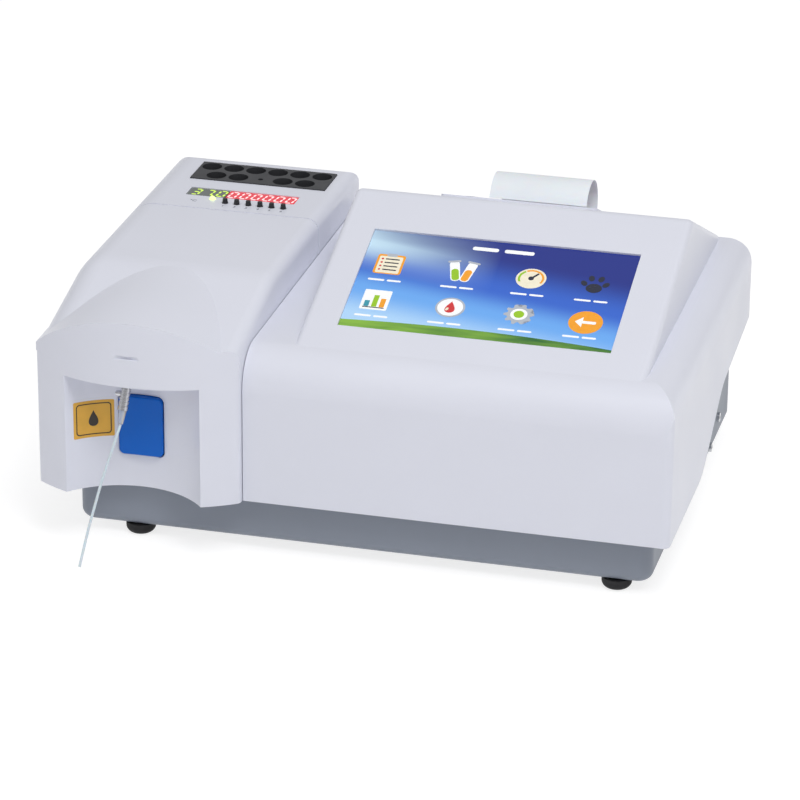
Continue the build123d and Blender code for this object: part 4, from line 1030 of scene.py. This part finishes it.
class ANALYZER_OT_printer(bpy.types.Operator):
    """Adds the tear bar's teeth and the lid's grip ribs"""

    bl_idname = "analyzer.printer"
    bl_label = "Printer Trim"

    def execute(self, context):
        settings = context.scene.analyzer_printer
        place = tilted(PRINTER_PLACE, PRINTER_SLOPE)
        steel = brushed("tear_steel", shade(188, 190, 194), gloss=0.24, stretch=(1, 1, 1))
        pitch = PAPER_WIDTH / settings.teeth
        sizes = {"Height": ["Depth"], "Base": ["Radius Bottom"]}
        tree, cone = row_tree("tear_teeth", "GeometryNodeMeshCone", sizes)
        cone.inputs["Vertices"].default_value = 4
        first = PAPER_MIDDLE - PAPER_WIDTH / 2 + pitch / 2
        start = place @ (Vector((first, TOOTH_ROW, BEZEL_TOP)) * mm)
        run_tree(
            "tear_teeth",
            tree,
            {
                "Count": settings.teeth,
                "Start": start,
                "Step": Vector((pitch * mm, 0, 0)),
                "Turn": Vector((radians(PRINTER_SLOPE), 0, 0)),
                "Finish": steel,
                "Height": TOOTH_HEIGHT * mm,
                "Base": TOOTH_SPREAD * pitch * mm,
            },
        )
        grip = moulded("grip_plastic", shade(206, 208, 216), gloss=0.4)
        tree, box = row_tree("grip_ribs", "GeometryNodeMeshCube", {})
        box.inputs["Size"].default_value = [side * mm for side in RIB_SIZE]
        step = place.to_3x3() @ Vector((0, RIB_PITCH * mm, 0))
        run_tree(
            "grip_ribs",
            tree,
            {
                "Count": settings.ribs,
                "Start": place @ (Vector((PAPER_MIDDLE, RIB_ROW, BEZEL_TOP + 0.2)) * mm),
                "Step": step,
                "Turn": Vector((radians(PRINTER_SLOPE), 0, 0)),
                "Finish": grip,
            },
            body="printer_lid",
        )
        return {"FINISHED"}


class ANALYZER_OT_fasteners(bpy.types.Operator):
    """Adds the small screws across the rear panel"""

    bl_idname = "analyzer.fasteners"
    bl_label = "Panel Screws"

    def execute(self, context):
        low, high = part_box("rear_panel")
        steel = brushed("panel_screw_steel", shade(176, 178, 182), gloss=0.28, stretch=(1, 1, 1))
        sizes = {"Radius": ["Radius"], "Depth": ["Depth"]}
        tree, head = row_tree("panel_screws", "GeometryNodeMeshCylinder", sizes)
        head.inputs["Vertices"].default_value = 24
        edge, rise = 9.0 * mm, 5.0 * mm
        radius, depth = 2.4 * mm, 1.2 * mm
        count = 5
        step = (high.x - low.x - 2 * edge) / (count - 1)
        run_tree(
            "panel_screws",
            tree,
            {
                "Count": count,
                "Start": Vector((low.x + edge, high.y + depth / 3, low.z + rise)),
                "Step": Vector((step, 0, 0)),
                "Turn": Vector((pi / 2, 0, 0)),
                "Finish": steel,
                "Radius": radius,
                "Depth": depth,
            },
        )
        return {"FINISHED"}


# Stage, in metres and degrees, with the floor in millimetres
KEY_PLACE = (0.75, -1.0, 2.2)
KEY_SIZE = 1.1
FILL_PLACE = (-1.6, -1.2, 1.0)
FILL_SIZE = 1.4
LIGHT_AIM = (0, 0, 0.08)
CAMERA_PLACE = (0.51081, -2.03330, 0.94654)
CAMERA_TURNS = ((14.16, "Z"), (66.92, "X"), (0.53, "Z"))
FLOOR_REACH = 4000.0
FLOOR_THICKNESS = 20.0


class ANALYZER_OT_stage(bpy.types.Operator):
    """Sets the pale floor, the soft lights and the camera"""

    bl_idname = "analyzer.stage"
    bl_label = "Stage"

    def execute(self, context):
        settings = context.scene.analyzer_stage
        self.floor()
        self.sky(context.scene, settings.sky)
        self.lamp("key_light", settings.key_light, KEY_PLACE, KEY_SIZE)
        self.lamp("fill_light", settings.fill_light, FILL_PLACE, FILL_SIZE)
        self.camera(context.scene, settings.lens)
        context.scene.view_settings.view_transform = "Standard"
        return {"FINISHED"}

    def floor(self):
        """A wide floor that the camera sees as white, with the object's shadow on it."""
        mesh = bmesh.new()
        reach = FLOOR_REACH
        corners = [(-reach, -reach), (reach, -reach), (reach, reach), (-reach, reach)]
        add_prism(mesh, corners, -FLOOR_THICKNESS, 0.0)
        data = bpy.data.meshes.new("floor")
        mesh.to_mesh(data)
        mesh.free()
        finish = Finish("floor_paper")
        finish.colour(shade(244, 244, 245)).gloss(0.85)
        add = finish.nodes.new("ShaderNodeMixShader")
        glow = finish.nodes.new("ShaderNodeEmission")
        glow.inputs["Strength"].default_value = 1.3
        path = finish.nodes.new("ShaderNodeLightPath")
        seen = finish.math("MAXIMUM", path.outputs["Is Camera Ray"], path.outputs["Is Glossy Ray"])
        seen = finish.math("MAXIMUM", seen, path.outputs["Is Transmission Ray"])
        finish.links.new(finish.math("MULTIPLY", seen, 0.6), add.inputs["Fac"])
        finish.links.new(finish.shader.outputs["BSDF"], add.inputs[1])
        finish.links.new(glow.outputs["Emission"], add.inputs[2])
        finish.links.new(add.outputs["Shader"], finish.nodes["Material Output"].inputs["Surface"])
        data.materials.append(finish.material)
        add_object("floor", data)

    def sky(self, scene, strength):
        """An even surrounding light that the camera sees as white."""
        world = bpy.data.worlds.new("studio")
        world.use_nodes = True
        tree = world.node_tree
        background = tree.nodes["Background"]
        background.inputs["Color"].default_value = (1, 1, 1, 1)
        path = tree.nodes.new("ShaderNodeLightPath")
        pick = tree.nodes.new("ShaderNodeMath")
        pick.operation = "MAXIMUM"
        tree.links.new(path.outputs["Is Camera Ray"], pick.inputs[0])
        tree.links.new(path.outputs["Is Transmission Ray"], pick.inputs[1])
        level = tree.nodes.new("ShaderNodeMapRange")
        level.inputs["To Min"].default_value = strength
        level.inputs["To Max"].default_value = 1.0
        tree.links.new(pick.outputs["Value"], level.inputs["Value"])
        tree.links.new(level.outputs["Result"], background.inputs["Strength"])
        scene.world = world

    def lamp(self, name, power, place, size):
        """A square soft light that faces the case."""
        light = bpy.data.lights.new(name, "AREA")
        light.energy = power
        light.size = size
        lamp = add_object(name, light)
        lamp.location = place
        aim = Vector(LIGHT_AIM) - Vector(place)
        lamp.rotation_euler = aim.to_track_quat("-Z", "Y").to_euler()

    def camera(self, scene, lens):
        """The camera at the photograph's viewing angle."""
        data = bpy.data.cameras.new("camera")
        data.lens = lens
        data.sensor_width = 36.0
        data.clip_end = 20.0
        camera = add_object("camera", data)
        placed = Matrix.Translation(CAMERA_PLACE)
        for degrees, axis in CAMERA_TURNS:
            placed = placed @ Matrix.Rotation(radians(degrees), 4, axis)
        camera.matrix_world = placed
        scene.camera = camera


class ANALYZER_PT_panel(bpy.types.Panel):
    """Lists the analyzer's pieces"""

    bl_idname = "ANALYZER_PT_panel"
    bl_label = "Blood Analyzer"
    bl_space_type = "VIEW_3D"
    bl_region_type = "UI"
    bl_category = "Analyzer"

    def draw(self, context):
        for name, group in SETTINGS.items():
            box = self.layout.box()
            for prop in group.__annotations__:
                box.prop(getattr(context.scene, name), prop)
        for operator in STEPS:
            self.layout.operator(operator.bl_idname)


SETTINGS = {
    "analyzer_case": CaseSettings,
    "analyzer_screen": ScreenSettings,
    "analyzer_deck": DeckSettings,
    "analyzer_sampler": SamplerSettings,
    "analyzer_printer": PrinterSettings,
    "analyzer_stage": StageSettings,
}
STEPS = (
    ANALYZER_OT_case,
    ANALYZER_OT_works,
    ANALYZER_OT_screen,
    ANALYZER_OT_deck,
    ANALYZER_OT_sampler,
    ANALYZER_OT_printer,
    ANALYZER_OT_fasteners,
    ANALYZER_OT_stage,
)


def register():
    """Registers the settings, the operators and the panel."""
    for entry in (*SETTINGS.values(), *STEPS, ANALYZER_PT_panel):
        bpy.utils.register_class(entry)
    for name, group in SETTINGS.items():
        setattr(bpy.types.Scene, name, PointerProperty(type=group))


def unregister():
    """Takes them all back."""
    for name in SETTINGS:
        delattr(bpy.types.Scene, name)
    for entry in (ANALYZER_PT_panel, *reversed(STEPS), *reversed(list(SETTINGS.values()))):
        bpy.utils.unregister_class(entry)


def main():
    """Runs every step in order."""
    register()
    for step in STEPS:
        group, name = step.bl_idname.split(".")
        getattr(getattr(bpy.ops, group), name)()


if __name__ == "__main__":
    main()
